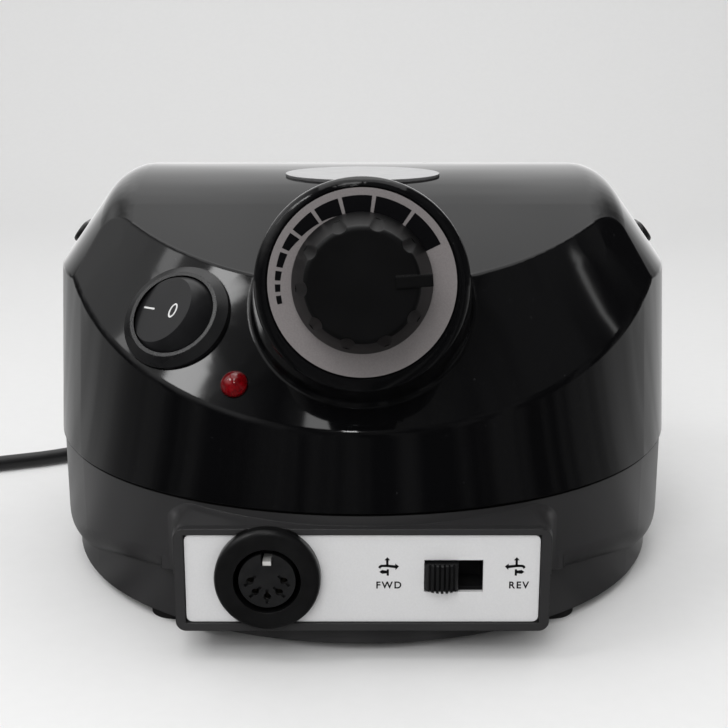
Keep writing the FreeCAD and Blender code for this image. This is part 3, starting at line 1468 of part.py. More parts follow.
def fuse_holder():
    """A round holder through the rear wall, with a flange outside and a tube inside."""
    body = free_body("fuse_holder")
    radius = sheet.fuse_diameter / 2
    flange = radius + sheet.fuse_flange
    inner = radius - sheet.fuse_wall
    half_section(body, "holder", [(0, -sheet.fuse_length), (radius, -sheet.fuse_length), (radius, 0), (flange, 0),
                                  (flange, sheet.fuse_flange), (inner, sheet.fuse_flange),
                                  (inner, -sheet.fuse_length + sheet.fuse_wall),
                                  (0, -sheet.fuse_length + sheet.fuse_wall)])
    return on_rear(body, "fuse_x", "rear_item_height")


def fuse_cap():
    """The screw cap that holds the fuse, with a coin slot."""
    body = free_body("fuse_cap")
    inner = sheet.fuse_diameter / 2 - sheet.fuse_wall - sheet.running_clearance
    head = sheet.fuse_diameter / 2 - 0.5
    low = sheet.fuse_flange
    half_section(body, "cap", [(0, low - sheet.fuse_length / 2), (inner, low - sheet.fuse_length / 2), (inner, low),
                               (head, low), (head, low + sheet.fuse_cap), (0, low + sheet.fuse_cap)])
    slot = sketch_on(body, "coin_slot_outline", "XY_Plane", "fuse_flange + fuse_cap")
    rectangle(slot, "fuse_diameter * 2", "coin_slot")
    pocket(body, "coin_slot_cut", slot, "fuse_cap / 2")
    return on_rear(body, "fuse_x", "rear_item_height")


def foot_pedal_jack():
    body = free_body("foot_pedal_jack")
    disc(body, "jack_box", "jack_diameter", "0 - wall - jack_length", "jack_length")
    disc(body, "jack_bush", "jack_diameter / 2", "0 - wall - 1", "wall + 1 + jack_proud")
    bore(body, "jack_bore_hole", "jack_bore / 2", "jack_proud", "jack_proud + wall + jack_length - 2")
    return on_rear(body, "pedal_x", "rear_item_height")


def foot_jack_nut():
    body = free_body("foot_jack_nut")
    disc(body, "ring", "jack_diameter / 2 + 2", "0", "jack_proud - 1")
    bore(body, "ring_bore", "jack_diameter / 2 + running_clearance", "jack_proud", "2 * jack_proud")
    return on_rear(body, "pedal_x", "rear_item_height")


def mode_switch_frame():
    """The hand or foot control selector: a slide switch behind the rear wall."""
    wide = "mode_width + mode_travel + 2 * small_gap"
    inside = "housing_depth - seam_overhang - wall - small_gap / 3"
    outer = block("mode_outer", wide + " + 2 * wall", "mode_depth", "mode_tall + 2 * wall", "mode_x",
                  "%s - mode_depth / 2" % inside, "rear_item_height - mode_tall / 2 - wall")
    track = block("mode_track", wide, "mode_depth - 1.5", "mode_tall", "mode_x",
                  "%s - (mode_depth - 1.5) / 2 + small_gap" % inside, "rear_item_height - mode_tall / 2")
    return cut("mode_switch_frame", outer, [track])


def mode_slider():
    depth = "wall + mode_depth - 1.5 - small_gap + mode_proud"
    return block("mode_slider", "mode_width", depth, "mode_tall - 2 * small_gap", "mode_x - mode_travel / 2",
                 "housing_depth - seam_overhang + mode_proud - (%s) / 2" % depth,
                 "rear_item_height - mode_tall / 2 + small_gap")


def mode_switch_terminals():
    tabs = []
    for index in range(3):
        tabs.append(block("mode_terminal_%d" % index, "terminal_width", "terminal_length", "terminal_thickness",
                          "mode_x + %d * terminal_pitch" % (index - 1),
                          "housing_depth - seam_overhang - wall - small_gap / 3 - mode_depth - terminal_length / 2",
                          "rear_item_height"))
    return group("mode_switch_terminals", tabs)


# Power cord

def strain_relief():
    """A rubber sleeve through the rear wall that tapers out along the cord."""
    body = free_body("strain_relief")
    inside = sheet.wall + sheet.small_gap
    grip = sheet.relief_diameter / 2
    half_section(body, "sleeve", [(0, -inside - 3), (grip + 1.5, -inside - 3), (grip + 1.5, -inside), (grip, -inside),
                                  (grip, 0.1), (grip + 1.2, 0.1), (grip + 1.2, 2.6), (grip, 2.6),
                                  (sheet.relief_tip_diameter / 2, sheet.relief_length), (0, sheet.relief_length)])
    return on_rear(body, "cord_x", "rear_item_height")


def cord_points():
    """The free stretch: out of the sleeve, down to the floor and away to the left."""
    rest = sheet.cord_diameter / 2 + sheet.floor_gap
    exit_y = sheet.housing_depth - sheet.seam_overhang + sheet.relief_length
    start, heading = coil_entry()
    return [V(sheet.cord_x, exit_y, sheet.rear_item_height), V(sheet.cord_x, exit_y + 14.5, sheet.rear_item_height),
            V(31.5, 194, 12.5), V(22, 208, 5.5), V(6, 215, rest), V(-13, 210, rest), V(-35, 197, rest),
            V(-55, 180, rest), V(-73, 160, rest), V(-87, 137, rest), V(-118, 124.5, rest),
            start - heading * 24, start]


def tube(points, radius):
    """A tube along straight runs joined by the largest tangent arcs that they allow."""
    edges = []
    joint = points[0]
    radii = []
    for before, point, after in zip(points, points[1:], points[2:]):
        first = point - before
        second = after - point
        turn = first.getAngle(second)
        run = 0.45 * min(first.Length, second.Length)
        radii.append(run / math.tan(turn / 2))
        first.normalize()
        second.normalize()
        start = point - first * run
        end = point + second * run
        bisector = (second - first).normalize()
        sagitta = radii[-1] * (1 / math.cos(turn / 2) - 1)
        edges.append(Part.LineSegment(joint, start).toShape())
        edges.append(Part.Arc(start, point + bisector * sagitta, end).toShape())
        joint = end
    edges.append(Part.LineSegment(joint, points[-1]).toShape())
    return sweep(edges, radius), radii


def sweep(edges, radius):
    path = Part.Wire(edges)
    start = edges[0].valueAt(edges[0].FirstParameter)
    direction = edges[0].tangentAt(edges[0].FirstParameter)
    ring = Part.Wire(Part.makeCircle(radius, start, direction))
    solid = path.makePipeShell([ring], True, False)
    return solid, path.Length


def coil_axes():
    """The coil's middle, the direction to its start and the direction in which it sets off."""
    turn = math.radians(sheet.coil_start)
    across = V(math.cos(turn), math.sin(turn), 0)
    ahead = V(-math.sin(turn), math.cos(turn), 0)
    return V(sheet.coil_x, sheet.coil_y, 0), across, ahead


def coil_radius():
    return sheet.coil_inner_radius + (sheet.coil_turns - 1) * sheet.coil_pitch


def coil_entry():
    """Where the coil begins, one cord's width before its first turn, and its heading there."""
    centre, across, ahead = coil_axes()
    height = sheet.cord_diameter / 2 + sheet.floor_gap
    return centre + across * coil_radius() - ahead * sheet.cord_diameter + V(0, 0, height), ahead


def coil_edges():
    """Half turns that spiral in on the floor, climb over and spiral out on top."""
    centre, across, ahead = coil_axes()
    step = sheet.coil_pitch / 2
    low = sheet.cord_diameter / 2 + sheet.floor_gap
    high = low + sheet.coil_pitch
    half_turns = int(2 * sheet.coil_turns)
    edges = []
    place_now = coil_radius()
    side = 1

    def point(along, out, height):
        return centre + across * along + ahead * out + V(0, 0, height)

    edges.append(Part.LineSegment(point(place_now, -sheet.cord_diameter, low), point(place_now, 0, low)).toShape())
    heights = [low] * (half_turns - 1) + [high] * (half_turns - 2)
    radii = [coil_radius() - step * k for k in range(half_turns - 1)]
    climb = radii[-1] - step
    sizes = radii + [climb] + [sheet.coil_inner_radius + step * k for k in range(half_turns - 2)]
    levels = [(low, low)] * len(radii) + [(low, high)] + [(high, high)] * (half_turns - 2)
    for size, (before, after) in zip(sizes, levels):
        middle = place_now - side * size
        rise = (after - before) / 2
        reach = math.hypot(size, rise)
        edges.append(Part.Arc(point(place_now, 0, before), point(middle, side * reach, before + rise),
                              point(place_now - 2 * side * size, 0, after)).toShape())
        place_now -= 2 * side * size
        side = -side
    size = sizes[-1] + step
    corner = math.sqrt(0.5)
    middle = place_now - side * size
    end = point(middle, side * size, high)
    edges.append(Part.Arc(point(place_now, 0, high),
                          point(middle + side * size * corner, side * size * corner, high), end).toShape())
    tail = across * (-side)
    edges.append(Part.LineSegment(end, end + tail * sheet.coil_tail).toShape())
    return edges, end + tail * sheet.coil_tail, tail


def closest_turns(edges, gap):
    """The least distance between stretches of the tube that don't follow on from each other."""
    points = []
    for edge in edges:
        count = max(2, int(edge.Length / 2))
        span = edge.LastParameter - edge.FirstParameter
        points += [edge.valueAt(edge.FirstParameter + span * k / count) for k in range(count)]
    least = 1000
    apart = int(gap)
    for index, point in enumerate(points):
        for other in points[index + apart:]:
            least = min(least, point.distanceToPoint(other))
    return least


def solid_part(name, shape):
    item = doc.addObject("Part::Feature", name)
    item.Shape = shape
    item.Placement = FreeCAD.Placement(V(0, sheet.face_y, 0), TURN())
    return item


def power_cord():
    (shape, length), radii = tube(cord_points(), sheet.cord_diameter / 2)
    section = math.pi * sheet.cord_diameter ** 2 / 4
    print("cord radii", [round(radius, 1) for radius in radii])
    print("cord length", round(length, 1), "volume ratio", round(shape.Volume / section / length, 4))
    return solid_part("power_cord", shape)


def cord_coil():
    edges = coil_edges()[0]
    shape, length = sweep(edges, sheet.cord_diameter / 2)
    section = math.pi * sheet.cord_diameter ** 2 / 4
    print("coil length", round(length, 1), "volume ratio", round(shape.Volume / section / length, 4))
    print("least gap", round(closest_turns(edges, 10) - sheet.cord_diameter, 2))
    return solid_part("cord_coil", shape)


def plug_place(item, out="0"):
    """Puts an item on the end of the cord with its own Z along the cord."""
    end, tail = coil_edges()[1:]
    turn = TURN(V(0, 0, 1), math.degrees(math.atan2(tail.y, tail.x))) * TURN(V(0, 1, 0), 90)
    item.Placement = FreeCAD.Placement(end + V(0, sheet.face_y, 0) + tail * sheet.get(out) if out != "0"
                                       else end + V(0, sheet.face_y, 0), turn)
    return item


def power_plug():
    """A moulded two-blade plug that narrows towards its cord."""
    body = free_body("power_plug")
    tail = sketch_on(body, "plug_tail", "XY_Plane")
    rectangle(tail, "plug_thickness * 0.7", "plug_width * 0.5")
    face = sketch_on(body, "plug_face", "XY_Plane", "plug_length")
    rectangle(face, "plug_thickness", "plug_width")
    loft(body, "plug_form", [tail, face])
    return plug_place(body)


def plug_pins():
    body = free_body("plug_pins")
    blades = sketch_on(body, "pin_outlines", "XY_Plane")
    for side in (-1, 1):
        rectangle(blades, "pin_width", "pin_thickness", "0", "%d * pin_spacing / 2" % side)
    pad(body, "pins", blades, "pin_length")
    return plug_place(body, "plug_length")


lower = lower_shell()
top = upper_shell()
PARTS = [lower, top, front_plate(), handpiece_socket(), socket_core(), socket_contacts(), socket_earth_tab(),
         direction_switch_frame(), direction_slider(), direction_switch_terminals(), dial_label(), speed_knob(),
         potentiometer(), potentiometer_shaft(), potentiometer_nut(), potentiometer_terminals(), rocker_housing(),
         rocker_paddle(), rocker_pin(), rocker_terminals(), led_lens(), led_leads(), badge_plate(),
         holder_stud("holder_stud_left", -1), holder_stud("holder_stud_right", 1), rubber_feet(), case_screws(),
         transformer_core(), transformer_windings(), transformer_bracket(), transformer_screws(), control_board(),
         board_screws(), smoothing_capacitor(), rectifier(), heat_sink(), power_transistor(), board_connectors(),
         fuse_holder(), fuse_cap(), foot_pedal_jack(), foot_jack_nut(), mode_switch_frame(), mode_slider(),
         mode_switch_terminals(), strain_relief(), power_cord(), cord_coil(), power_plug(), plug_pins()]

doc.recompute()
for item in doc.Objects:
    if "Invalid" in item.State or "Error" in item.State:
        raise RuntimeError("not built: " + item.Label)
for item in PARTS:
    if item.Shape.isNull() or not item.Shape.isValid():
        raise RuntimeError("bad shape: " + item.Label)

os.makedirs("parts", exist_ok=True)
for item in PARTS:
    item.Shape.exportStep("parts/%s.step" % item.Label)
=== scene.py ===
"""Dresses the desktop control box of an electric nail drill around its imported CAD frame.

Places on the box, the camera's place and the printed marks are in millimetres, which MM turns
into metres. The settings, the stage and the sizes in materials are in metres. The origin is on
the table under the middle of the box, X is to the right, Y to the back and Z up, as in the frame.
"""

import math

import bmesh
import bpy
from bpy.props import FloatProperty, FloatVectorProperty, IntProperty, PointerProperty
from mathutils import Matrix, Vector


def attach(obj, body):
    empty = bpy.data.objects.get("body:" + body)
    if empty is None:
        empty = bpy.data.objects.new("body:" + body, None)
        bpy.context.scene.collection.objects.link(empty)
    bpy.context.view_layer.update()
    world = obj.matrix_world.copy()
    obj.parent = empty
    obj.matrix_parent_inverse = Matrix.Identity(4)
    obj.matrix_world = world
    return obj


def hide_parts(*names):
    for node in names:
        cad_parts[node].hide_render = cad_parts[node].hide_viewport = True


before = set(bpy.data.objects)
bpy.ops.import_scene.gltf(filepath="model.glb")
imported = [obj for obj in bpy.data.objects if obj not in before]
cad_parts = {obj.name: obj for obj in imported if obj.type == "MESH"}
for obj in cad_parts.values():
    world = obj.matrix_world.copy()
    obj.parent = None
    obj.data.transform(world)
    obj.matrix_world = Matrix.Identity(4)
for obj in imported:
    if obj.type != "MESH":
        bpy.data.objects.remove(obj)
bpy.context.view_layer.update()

bl_info = {
    "name": "Nail Drill Control Box",
    "version": (1, 0, 0),
    "blender": (4, 5, 0),
    "location": "View3D > Sidebar > Nail Drill",
    "description": "Materials, printed marks, cord and studio for a nail drill's control box",
    "category": "Object",
}

MM = 0.001

# Places on the box, as the CAD gives them

DIAL_MIDDLE = (0.0, -63.1, 81.6)
DIAL_LEAN = 81.0
BAND_AXIS_Y = 61.9
BAND_RADIUS = 124.4
BAND_FOOT = 48.8
BAND_SLOPE = 52.0
ROCKER_AZIMUTH = -21.9
ROCKER_HEIGHT = 69.4
ROCKER_TWIST = -5.0
ROCKER_TILT = -17.0
PIVOT_DEPTH = -3.0
PADDLE_FACE = 6.6
PLATE_Y = -63.1

# The gap between the two shells, from just under to just over it, and how softly its shadow starts

SEAM_BOTTOM = 32.4
SEAM_TOP = 33.08
SEAM_EDGE = 0.05
SEAM_SHADE = (0.0008, 0.0008, 0.0008, 1)

# The second tone of some finishes, as a share of the first

PLATE_FLAKE = 0.965
DIAL_FLAKE = 0.88
INK_FLECK = 1.15
PAPER_FLECK = 0.99

# Dust on the shells, by its size and by where in its pattern it starts and is full, and how far
# each shell's roughness wanders

DUST_SIZE = 0.0007
DUST_ENDS = (0.68, 0.9)
GLOSS_SPREAD = 0.05
SATIN_SPREAD = 0.08

# Sockets of the Mix node when it mixes colours, which share their names with its other sockets

MIX_SHARE, MIX_FIRST, MIX_SECOND, MIX_RESULT = 0, 6, 7, 2


# Node materials

def toned(colour, share):
    """Each part of a colour, or each of some levels, multiplied by a share."""
    return tuple(share * part for part in colour)


class Tree:
    """A material's node tree with one surface shader, and short ways to add and join nodes."""

    def __init__(self, name, colour, **values):
        self.material = bpy.data.materials.new(name)
        self.material.use_nodes = True
        self.material.diffuse_color = (*colour, 1)
        self.nodes = self.material.node_tree.nodes
        self.links = self.material.node_tree.links
        self.nodes.clear()
        self.output = self.add("ShaderNodeOutputMaterial")
        self.surface = self.add("ShaderNodeBsdfPrincipled")
        self.surface.inputs["Base Color"].default_value = (*colour, 1)
        for key, value in values.items():
            self.surface.inputs[key.replace("_", " ")].default_value = value
        self.join(self.surface, "BSDF", self.output, "Surface")
        self.place = self.add("ShaderNodeTexCoord")

    def add(self, kind, **settings):
        """A node with values for its sockets or its own settings."""
        node = self.nodes.new(kind)
        for key, value in settings.items():
            if key in node.inputs:
                node.inputs[key].default_value = value
            else:
                setattr(node, key, value)
        return node

    def join(self, source, output, target, entry):
        self.links.new(source.outputs[output], target.inputs[entry])

    def stretched(self, scale):
        """The object's own coordinates, scaled along each axis."""
        mapping = self.add("ShaderNodeMapping")
        mapping.inputs["Scale"].default_value = scale
        self.join(self.place, "Object", mapping, "Vector")
        return mapping

    def noise(self, size, detail=2.0, stretch=None):
        """A cloud pattern whose patches are about size across."""
        pattern = self.add("ShaderNodeTexNoise", Scale=1 / size, Detail=detail)
        if stretch:
            self.join(self.stretched(stretch), "Vector", pattern, "Vector")
        else:
            self.join(self.place, "Object", pattern, "Vector")
        return pattern

    def tones(self, pattern, first, second, low=0.35, high=0.65, output="Fac"):
        """Colours the surface from one tone to another by a pattern."""
        ramp = self.add("ShaderNodeValToRGB")
        ends = ramp.color_ramp.elements
        ends[0].position, ends[1].position = low, high
        ends[0].color, ends[1].color = (*first, 1), (*second, 1)
        self.join(pattern, output, ramp, "Fac")
        self.join(ramp, "Color", self.surface, "Base Color")

    def sheen_range(self, pattern, low, high, output="Fac"):
        """Lets the roughness wander between two values."""
        spread = self.add("ShaderNodeMapRange")
        spread.inputs["To Min"].default_value = low
        spread.inputs["To Max"].default_value = high
        self.join(pattern, output, spread, "Value")
        self.join(spread, "Result", self.surface, "Roughness")

    def relief(self, pattern, depth, edge=0.0, output="Fac"):
        """A fine relief from a pattern, over edges rounded by a small radius."""
        bump = self.add("ShaderNodeBump", Distance=depth)
        self.join(pattern, output, bump, "Height")
        if edge:
            rounding = self.add("ShaderNodeBevel", samples=4, Radius=edge)
            self.join(rounding, "Normal", bump, "Normal")
        self.join(bump, "Normal", self.surface, "Normal")

    def joint_shadow(self, clear, deep):
        """Blackens and dulls the surface from one height to another, as the shadow in a joint does."""
        parts = self.add("ShaderNodeSeparateXYZ")
        self.join(self.place, "Object", parts, "Vector")
        ramp = self.add("ShaderNodeMapRange")
        ramp.inputs["From Min"].default_value = clear
        ramp.inputs["From Max"].default_value = deep
        self.join(parts, "Z", ramp, "Value")
        shade = self.add("ShaderNodeMix", data_type="RGBA")
        self.links.new(ramp.outputs["Result"], shade.inputs[MIX_SHARE])
        colour = self.surface.inputs["Base Color"]
        self.links.new(colour.links[0].from_socket, shade.inputs[MIX_FIRST])
        shade.inputs[MIX_SECOND].default_value = SEAM_SHADE
        self.links.new(shade.outputs[MIX_RESULT], colour)
        dull = self.add("ShaderNodeMath", operation="MAXIMUM")
        self.links.new(self.surface.inputs["Roughness"].links[0].from_socket, dull.inputs[0])
        self.links.new(ramp.outputs["Result"], dull.inputs[1])
        self.join(dull, "Value", self.surface, "Roughness")


def moulded(name, dark, light, roughness, patch, grain, depth, edge=0.0, **values):
    """Moulded plastic or rubber: two close tones, a wandering sheen and a fine moulding grain.

    Patch and grain are how wide the sheen's patches and the grain are, depth is the grain's
    relief, and edge is the radius of worn edges.
    """
    tree = Tree(name, dark, **values)
    cloud = tree.noise(patch, 3.0)
    tree.tones(cloud, dark, light)
    tree.sheen_range(cloud, *roughness)
    tree.relief(tree.noise(grain, 4.0), depth, edge)
    return tree.material


def metal(name, dark, light, roughness, stretch, grain, depth, edge=0.0, **values):
    """Metal with a drawn or brushed grain, stretched along one direction."""
    tree = Tree(name, light, **values)
    tree.surface.inputs["Metallic"].default_value = values.get("Metallic", 1.0)
    lines = tree.noise(grain, 5.0, stretch)
    tree.tones(lines, dark, light, 0.3, 0.7)
    tree.sheen_range(lines, *roughness)
    tree.relief(lines, depth, edge)
    return tree.material


def shell_gloss(settings):
    """Polished black moulding with a faint ripple, dust and wiping marks."""
    tree = Tree("polished_black_shell", settings.housing_colour, IOR=1.5, Specular_IOR_Level=0.32)
    dust = tree.noise(DUST_SIZE, 6.0)
    tree.tones(dust, settings.housing_colour, (0.03, 0.03, 0.032), *DUST_ENDS)
    wipe = tree.noise(0.028, 4.0, (1.0, 0.35, 1.6))
    tree.sheen_range(wipe, settings.housing_gloss, settings.housing_gloss + GLOSS_SPREAD)
    ripple = tree.noise(0.02, 1.0)
    tree.relief(ripple, 0.00003, 0.0004)
    tree.joint_shadow((SEAM_TOP + SEAM_EDGE) * MM, SEAM_TOP * MM)
    return tree.material


def shell_satin(settings):
    """The lower moulding's even satin: the same black with a fine spark-eroded texture."""
    tree = Tree("satin_black_shell", settings.tray_colour, IOR=1.5, Specular_IOR_Level=0.5)
    dust = tree.noise(DUST_SIZE, 6.0)
    tree.tones(dust, settings.tray_colour, (0.04, 0.04, 0.042), *DUST_ENDS)
    tree.sheen_range(tree.noise(0.02, 3.0), settings.tray_roughness,
                     settings.tray_roughness + SATIN_SPREAD)
    tree.relief(tree.noise(0.0004, 2.0), 0.000008, 0.0004)
    tree.joint_shadow((SEAM_BOTTOM - SEAM_EDGE) * MM, SEAM_BOTTOM * MM)
    return tree.material


def plate_silver(settings):
    """Fine silver lacquer on the front plate."""
    tree = Tree("silver_lacquer", settings.plate_colour, Metallic=0.08, IOR=1.45)
    flake = tree.noise(0.0004, 3.0)
    tree.tones(flake, toned(settings.plate_colour, PLATE_FLAKE), settings.plate_colour)
    tree.sheen_range(tree.noise(0.02, 3.0), 0.34, 0.46)
    tree.relief(flake, 0.000012, 0.00012)
    return tree.material


def print_ink(name, colour):
    """Printed ink: nearly flat, with a slightly uneven edge sheen."""
    return moulded(name, colour, toned(colour, INK_FLECK), (0.5, 0.65),
                   0.0012, 0.0002, 0.000004, Specular_IOR_Level=0.12)


def cord_jacket():
    """Smooth black cord jacket with a soft sheen along its length."""
    return moulded("cord_jacket", (0.003, 0.003, 0.0034), (0.007, 0.007, 0.0075), (0.36, 0.48),
                   0.006, 0.0007, 0.00002)


# Meshes

def new_piece(name, mesh_builder, material, body="root", smooth=True, place=None):
    """A mesh object from a builder that fills a bmesh, riding on a body of the frame."""
    shape = bmesh.new()
    mesh_builder(shape)
    bmesh.ops.recalc_face_normals(shape, faces=shape.faces)
    mesh = bpy.data.meshes.new(name)
    shape.to_mesh(mesh)
    shape.free()
    for face in mesh.polygons:
        face.use_smooth = smooth
    mesh.materials.append(material)
    piece = bpy.data.objects.new(name, mesh)
    bpy.context.scene.collection.objects.link(piece)
    if place is not None:
        mesh.transform(place)
    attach(piece, body)
    return piece


def strip(shape, first, second, low, high, closed=False):
    """A thin solid strip between two rails of points in a plane, from height low to high."""
    bottom, top = ([[shape.verts.new((x * MM, y * MM, height * MM)) for x, y in rail]
                    for rail in (first, second)] for height in (low, high))
    count = len(first)
    steps = range(count if closed else count - 1)
    for step in steps:
        ahead = (step + 1) % count
        shape.faces.new((top[0][step], top[0][ahead], top[1][ahead], top[1][step]))
        shape.faces.new((bottom[0][step], bottom[1][step], bottom[1][ahead], bottom[0][ahead]))
        for lower, upper in zip(bottom, top):
            shape.faces.new((upper[step], lower[step], lower[ahead], upper[ahead]))
    if not closed:
        for end in (0, count - 1):
            shape.faces.new((top[0][end], top[1][end], bottom[1][end], bottom[0][end]))


def slab(shape, outline, low, high):
    """A thin solid with a convex outline, from height low to high."""
    bottom = [shape.verts.new((x * MM, y * MM, low * MM)) for x, y in outline]
    top = [shape.verts.new((x * MM, y * MM, high * MM)) for x, y in outline]
    shape.faces.new(top)
    shape.faces.new(list(reversed(bottom)))
    for step in range(len(outline)):
        ahead = (step + 1) % len(outline)
        shape.faces.new((top[step], bottom[step], bottom[ahead], top[ahead]))


def at(x, y, z):
    """A move by millimetres."""
    return Matrix.Translation((x * MM, y * MM, z * MM))


def turn(degrees, axis):
    """A turn about an axis through the origin."""
    return Matrix.Rotation(math.radians(degrees), 4, axis)


def dial_place():
    """The dial's middle, with Z out of the dial and Y up it."""
    return at(*DIAL_MIDDLE) @ turn(DIAL_LEAN, "X")


def band_place(azimuth, height, out):
    """A point out from the sloping band, with Z out of it and Y up the slope."""
    slope = math.radians(BAND_SLOPE)
    reach = BAND_RADIUS - (height - BAND_FOOT) / math.tan(slope) + out * math.sin(slope)
    angle = math.radians(azimuth)
    x = reach * math.sin(angle)
    y = BAND_AXIS_Y - reach * math.cos(angle)
    z = height + out * math.cos(slope)
    return at(x, y, z) @ turn(azimuth, "Z") @ turn(BAND_SLOPE, "X")


def front_place(x, z):
    """A point on the front plate, with Z out of it and Y up."""
    return at(x, PLATE_Y, z) @ turn(90, "X")


def finish(material, *names):
    """Gives CAD nodes their material."""
    for name in names:
        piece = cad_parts[name]
        if not piece.data.materials:
            piece.data.materials.append(material)
        for index in range(len(piece.data.materials)):
            piece.data.materials[index] = material


# Settings

class BoxSettings(bpy.types.PropertyGroup):
    """Colours and sizes of the box's finish."""

    housing_colour: FloatVectorProperty(
        name="Housing colour", description="Colour of the polished moulding", subtype="COLOR",
        size=3, min=0, max=1, default=(0.002, 0.002, 0.0023))
    housing_gloss: FloatProperty(
        name="Housing roughness", description="Least roughness of the polished moulding",
        min=0.02, max=1, default=0.045)
    tray_colour: FloatVectorProperty(
        name="Tray colour", description="Colour of the satin lower moulding", subtype="COLOR",
        size=3, min=0, max=1, default=(0.027, 0.0266, 0.0275))
    tray_roughness: FloatProperty(
        name="Tray roughness", description="Least roughness of the satin lower moulding",
        min=0.02, max=1, default=0.26)
    plate_colour: FloatVectorProperty(
        name="Plate colour", description="Colour of the front plate's silver lacquer", subtype="COLOR",
        size=3, min=0, max=1, default=(0.64, 0.64, 0.645))
    dial_colour: FloatVectorProperty(
        name="Dial colour", description="Colour of the ring under the knob", subtype="COLOR",
        size=3, min=0, max=1, default=(0.205, 0.188, 0.188))
    mark_height: FloatProperty(
        name="Print height", description="How far printed marks stand out", unit="LENGTH",
        min=0.00001, max=0.0002, default=0.00004)


class CordSettings(bpy.types.PropertyGroup):
    """The mains cord, as the CAD has it."""

    diameter: FloatProperty(
        name="Diameter", description="Outside diameter of the cord", unit="LENGTH",
        min=0.002, max=0.01, default=0.0046)
    length: FloatProperty(
        name="Length", description="Length of the whole cord", unit="LENGTH",
        min=0.5, max=3, default=1.5)
    coil_turns: IntProperty(
        name="Turns", description="Turns of the coil in each layer", min=2, max=8, default=4)


class StudioSettings(bpy.types.PropertyGroup):
    """Camera, floor, lamps and what the polish reflects."""

    lens: FloatProperty(
        name="Lens", description="Focal length of the camera, in millimetres",
        subtype="DISTANCE_CAMERA", min=20, max=200, default=63.3)
    pitch: FloatProperty(
        name="Pitch", description="How far the camera looks down", subtype="ANGLE", unit="ROTATION",
        min=0, max=1.5, default=math.radians(14.1))
    floor_colour: FloatVectorProperty(
        name="Floor colour", description="Colour of the floor and the backdrop", subtype="COLOR",
        size=3, min=0, max=1, default=(0.80, 0.80, 0.80))
    top_power: FloatProperty(
        name="Top lamp", description="Power of the wide lamp overhead", subtype="POWER", unit="POWER",
        min=0, max=200, default=3.5)
    front_power: FloatProperty(
        name="Front lamp", description="Power of the even light from the front", subtype="POWER",
        unit="POWER", min=0, max=200, default=4.0)
    panel_level: FloatProperty(
        name="Panel level", description="Share of the power of the small lamps that the polish shows",
        min=0, max=4, default=1.0)
    room_level: FloatProperty(
        name="Room level", description="Brightness behind the box, as the polish reflects it",
        min=0, max=4, default=1.1)
    dark_level: FloatProperty(
        name="Dark level", description="Brightness in front of the box, as the polish reflects it",
        min=0, max=4, default=0.08)
    left_level: FloatProperty(
        name="Left level", description="Brightness high on the left, as the polish reflects it",
        min=0, max=4, default=0.9)
    paper_level: FloatProperty(
        name="Paper level", description="Brightness of the floor, as the polish reflects it",
        min=0, max=4, default=0.4)
    world_level: FloatProperty(
        name="World level", description="Brightness of the even world", min=0, max=4, default=0.55)


# Studio

WORLD_COLOUR = (1.0, 0.997, 0.993)
CAMERA_PLACE = (0.35, -311.2, 127.5)
SENSOR_WIDTH = 36
LAMP_AIM = Vector((0, -0.03, 0.05))
ROOM_RADIUS = 1.6

# Lamps: heading and rise in degrees, distance and size in metres, and for panels the power in watts

TOP_LAMP = (180, 82, 1.05, (0.95, 0.95))
FRONT_LAMP = (-14, 38, 1.0, (0.5, 0.5))
PANELS = [("left_key", -63, 52, 0.9, (0.12, 0.19), 0.8),
          ("left_strip", -84, 46, 0.9, (0.06, 0.30), 0.17),
          ("front_panel", -11, 62, 0.9, (0.17, 0.25), 0.55),
          ("right_strip", 89, 42, 0.9, (0.016, 0.10), 0.012),
          ("front_spot", -4, 38, 0.9, (0.06, 0.06), 0.35)]

# Where the glow of what the polish reflects starts and is full: how far back, left or high, out of 1

TABLE_BACK = (-0.45, 0.4)
ROOM_BACK = (0.72, 0.98)
ROOM_LEFT = (-0.25, -0.75)
ROOM_HIGH = (0.2, 0.6)

# The soft upright shapes in its dark: their scale and stretch, their edges, and their two levels

SHAPE_SCALE = 3.2
SHAPE_STRETCH = (1.6, 1.6, 0.25)
SHAPE_EDGES = (0.38, 0.62)
SHAPE_LEVELS = (0.3, 1.8)


def soft_lamp(name, heading, rise, distance, size, power, glossy=True):
    """A rectangular lamp aimed at the box from a heading, clockwise from the front, and a rise."""
    lamp = bpy.data.lights.new(name, "AREA")
    lamp.shape = "RECTANGLE"
    lamp.size, lamp.size_y = size
    lamp.energy = power
    holder = bpy.data.objects.new(name, lamp)
    bpy.context.scene.collection.objects.link(holder)
    side, up = math.radians(heading), math.radians(rise)
    away = Vector((math.sin(side) * math.cos(up), -math.cos(side) * math.cos(up), math.sin(up)))
    holder.location = LAMP_AIM + away * distance
    holder.rotation_euler = (-away).to_track_quat("-Z", "Y").to_euler()
    holder.visible_glossy = glossy


def floor_mesh(shape):
    """A floor that curves up into a backdrop behind the box."""
    bend, far, wall, width, bend_steps = 0.35, 0.95, 1.3, 2.2, 12
    flat_rows = (-1.6, -0.4, 0.2, far - bend)
    profile = [(y, 0.0) for y in flat_rows]
    for step in range(1, bend_steps + 1):
        angle = math.radians(90 * step / bend_steps)
        profile.append((far - bend + bend * math.sin(angle), bend * (1 - math.cos(angle))))
    profile += [(far, wall)]
    rows = [[shape.verts.new((x, y, z)) for x in (-width, width)] for y, z in profile]
    for below, above in zip(rows, rows[1:]):
        shape.faces.new((below[0], below[1], above[1], above[0]))


def table_mesh(shape):
    """A sheet just over the floor, in front of the backdrop."""
    wide, near, far, height = 1.3, -1.3, 0.55, 0.0001
    shape.faces.new([shape.verts.new((x, y, height))
                     for x, y in ((-wide, near), (wide, near), (wide, far), (-wide, far))])


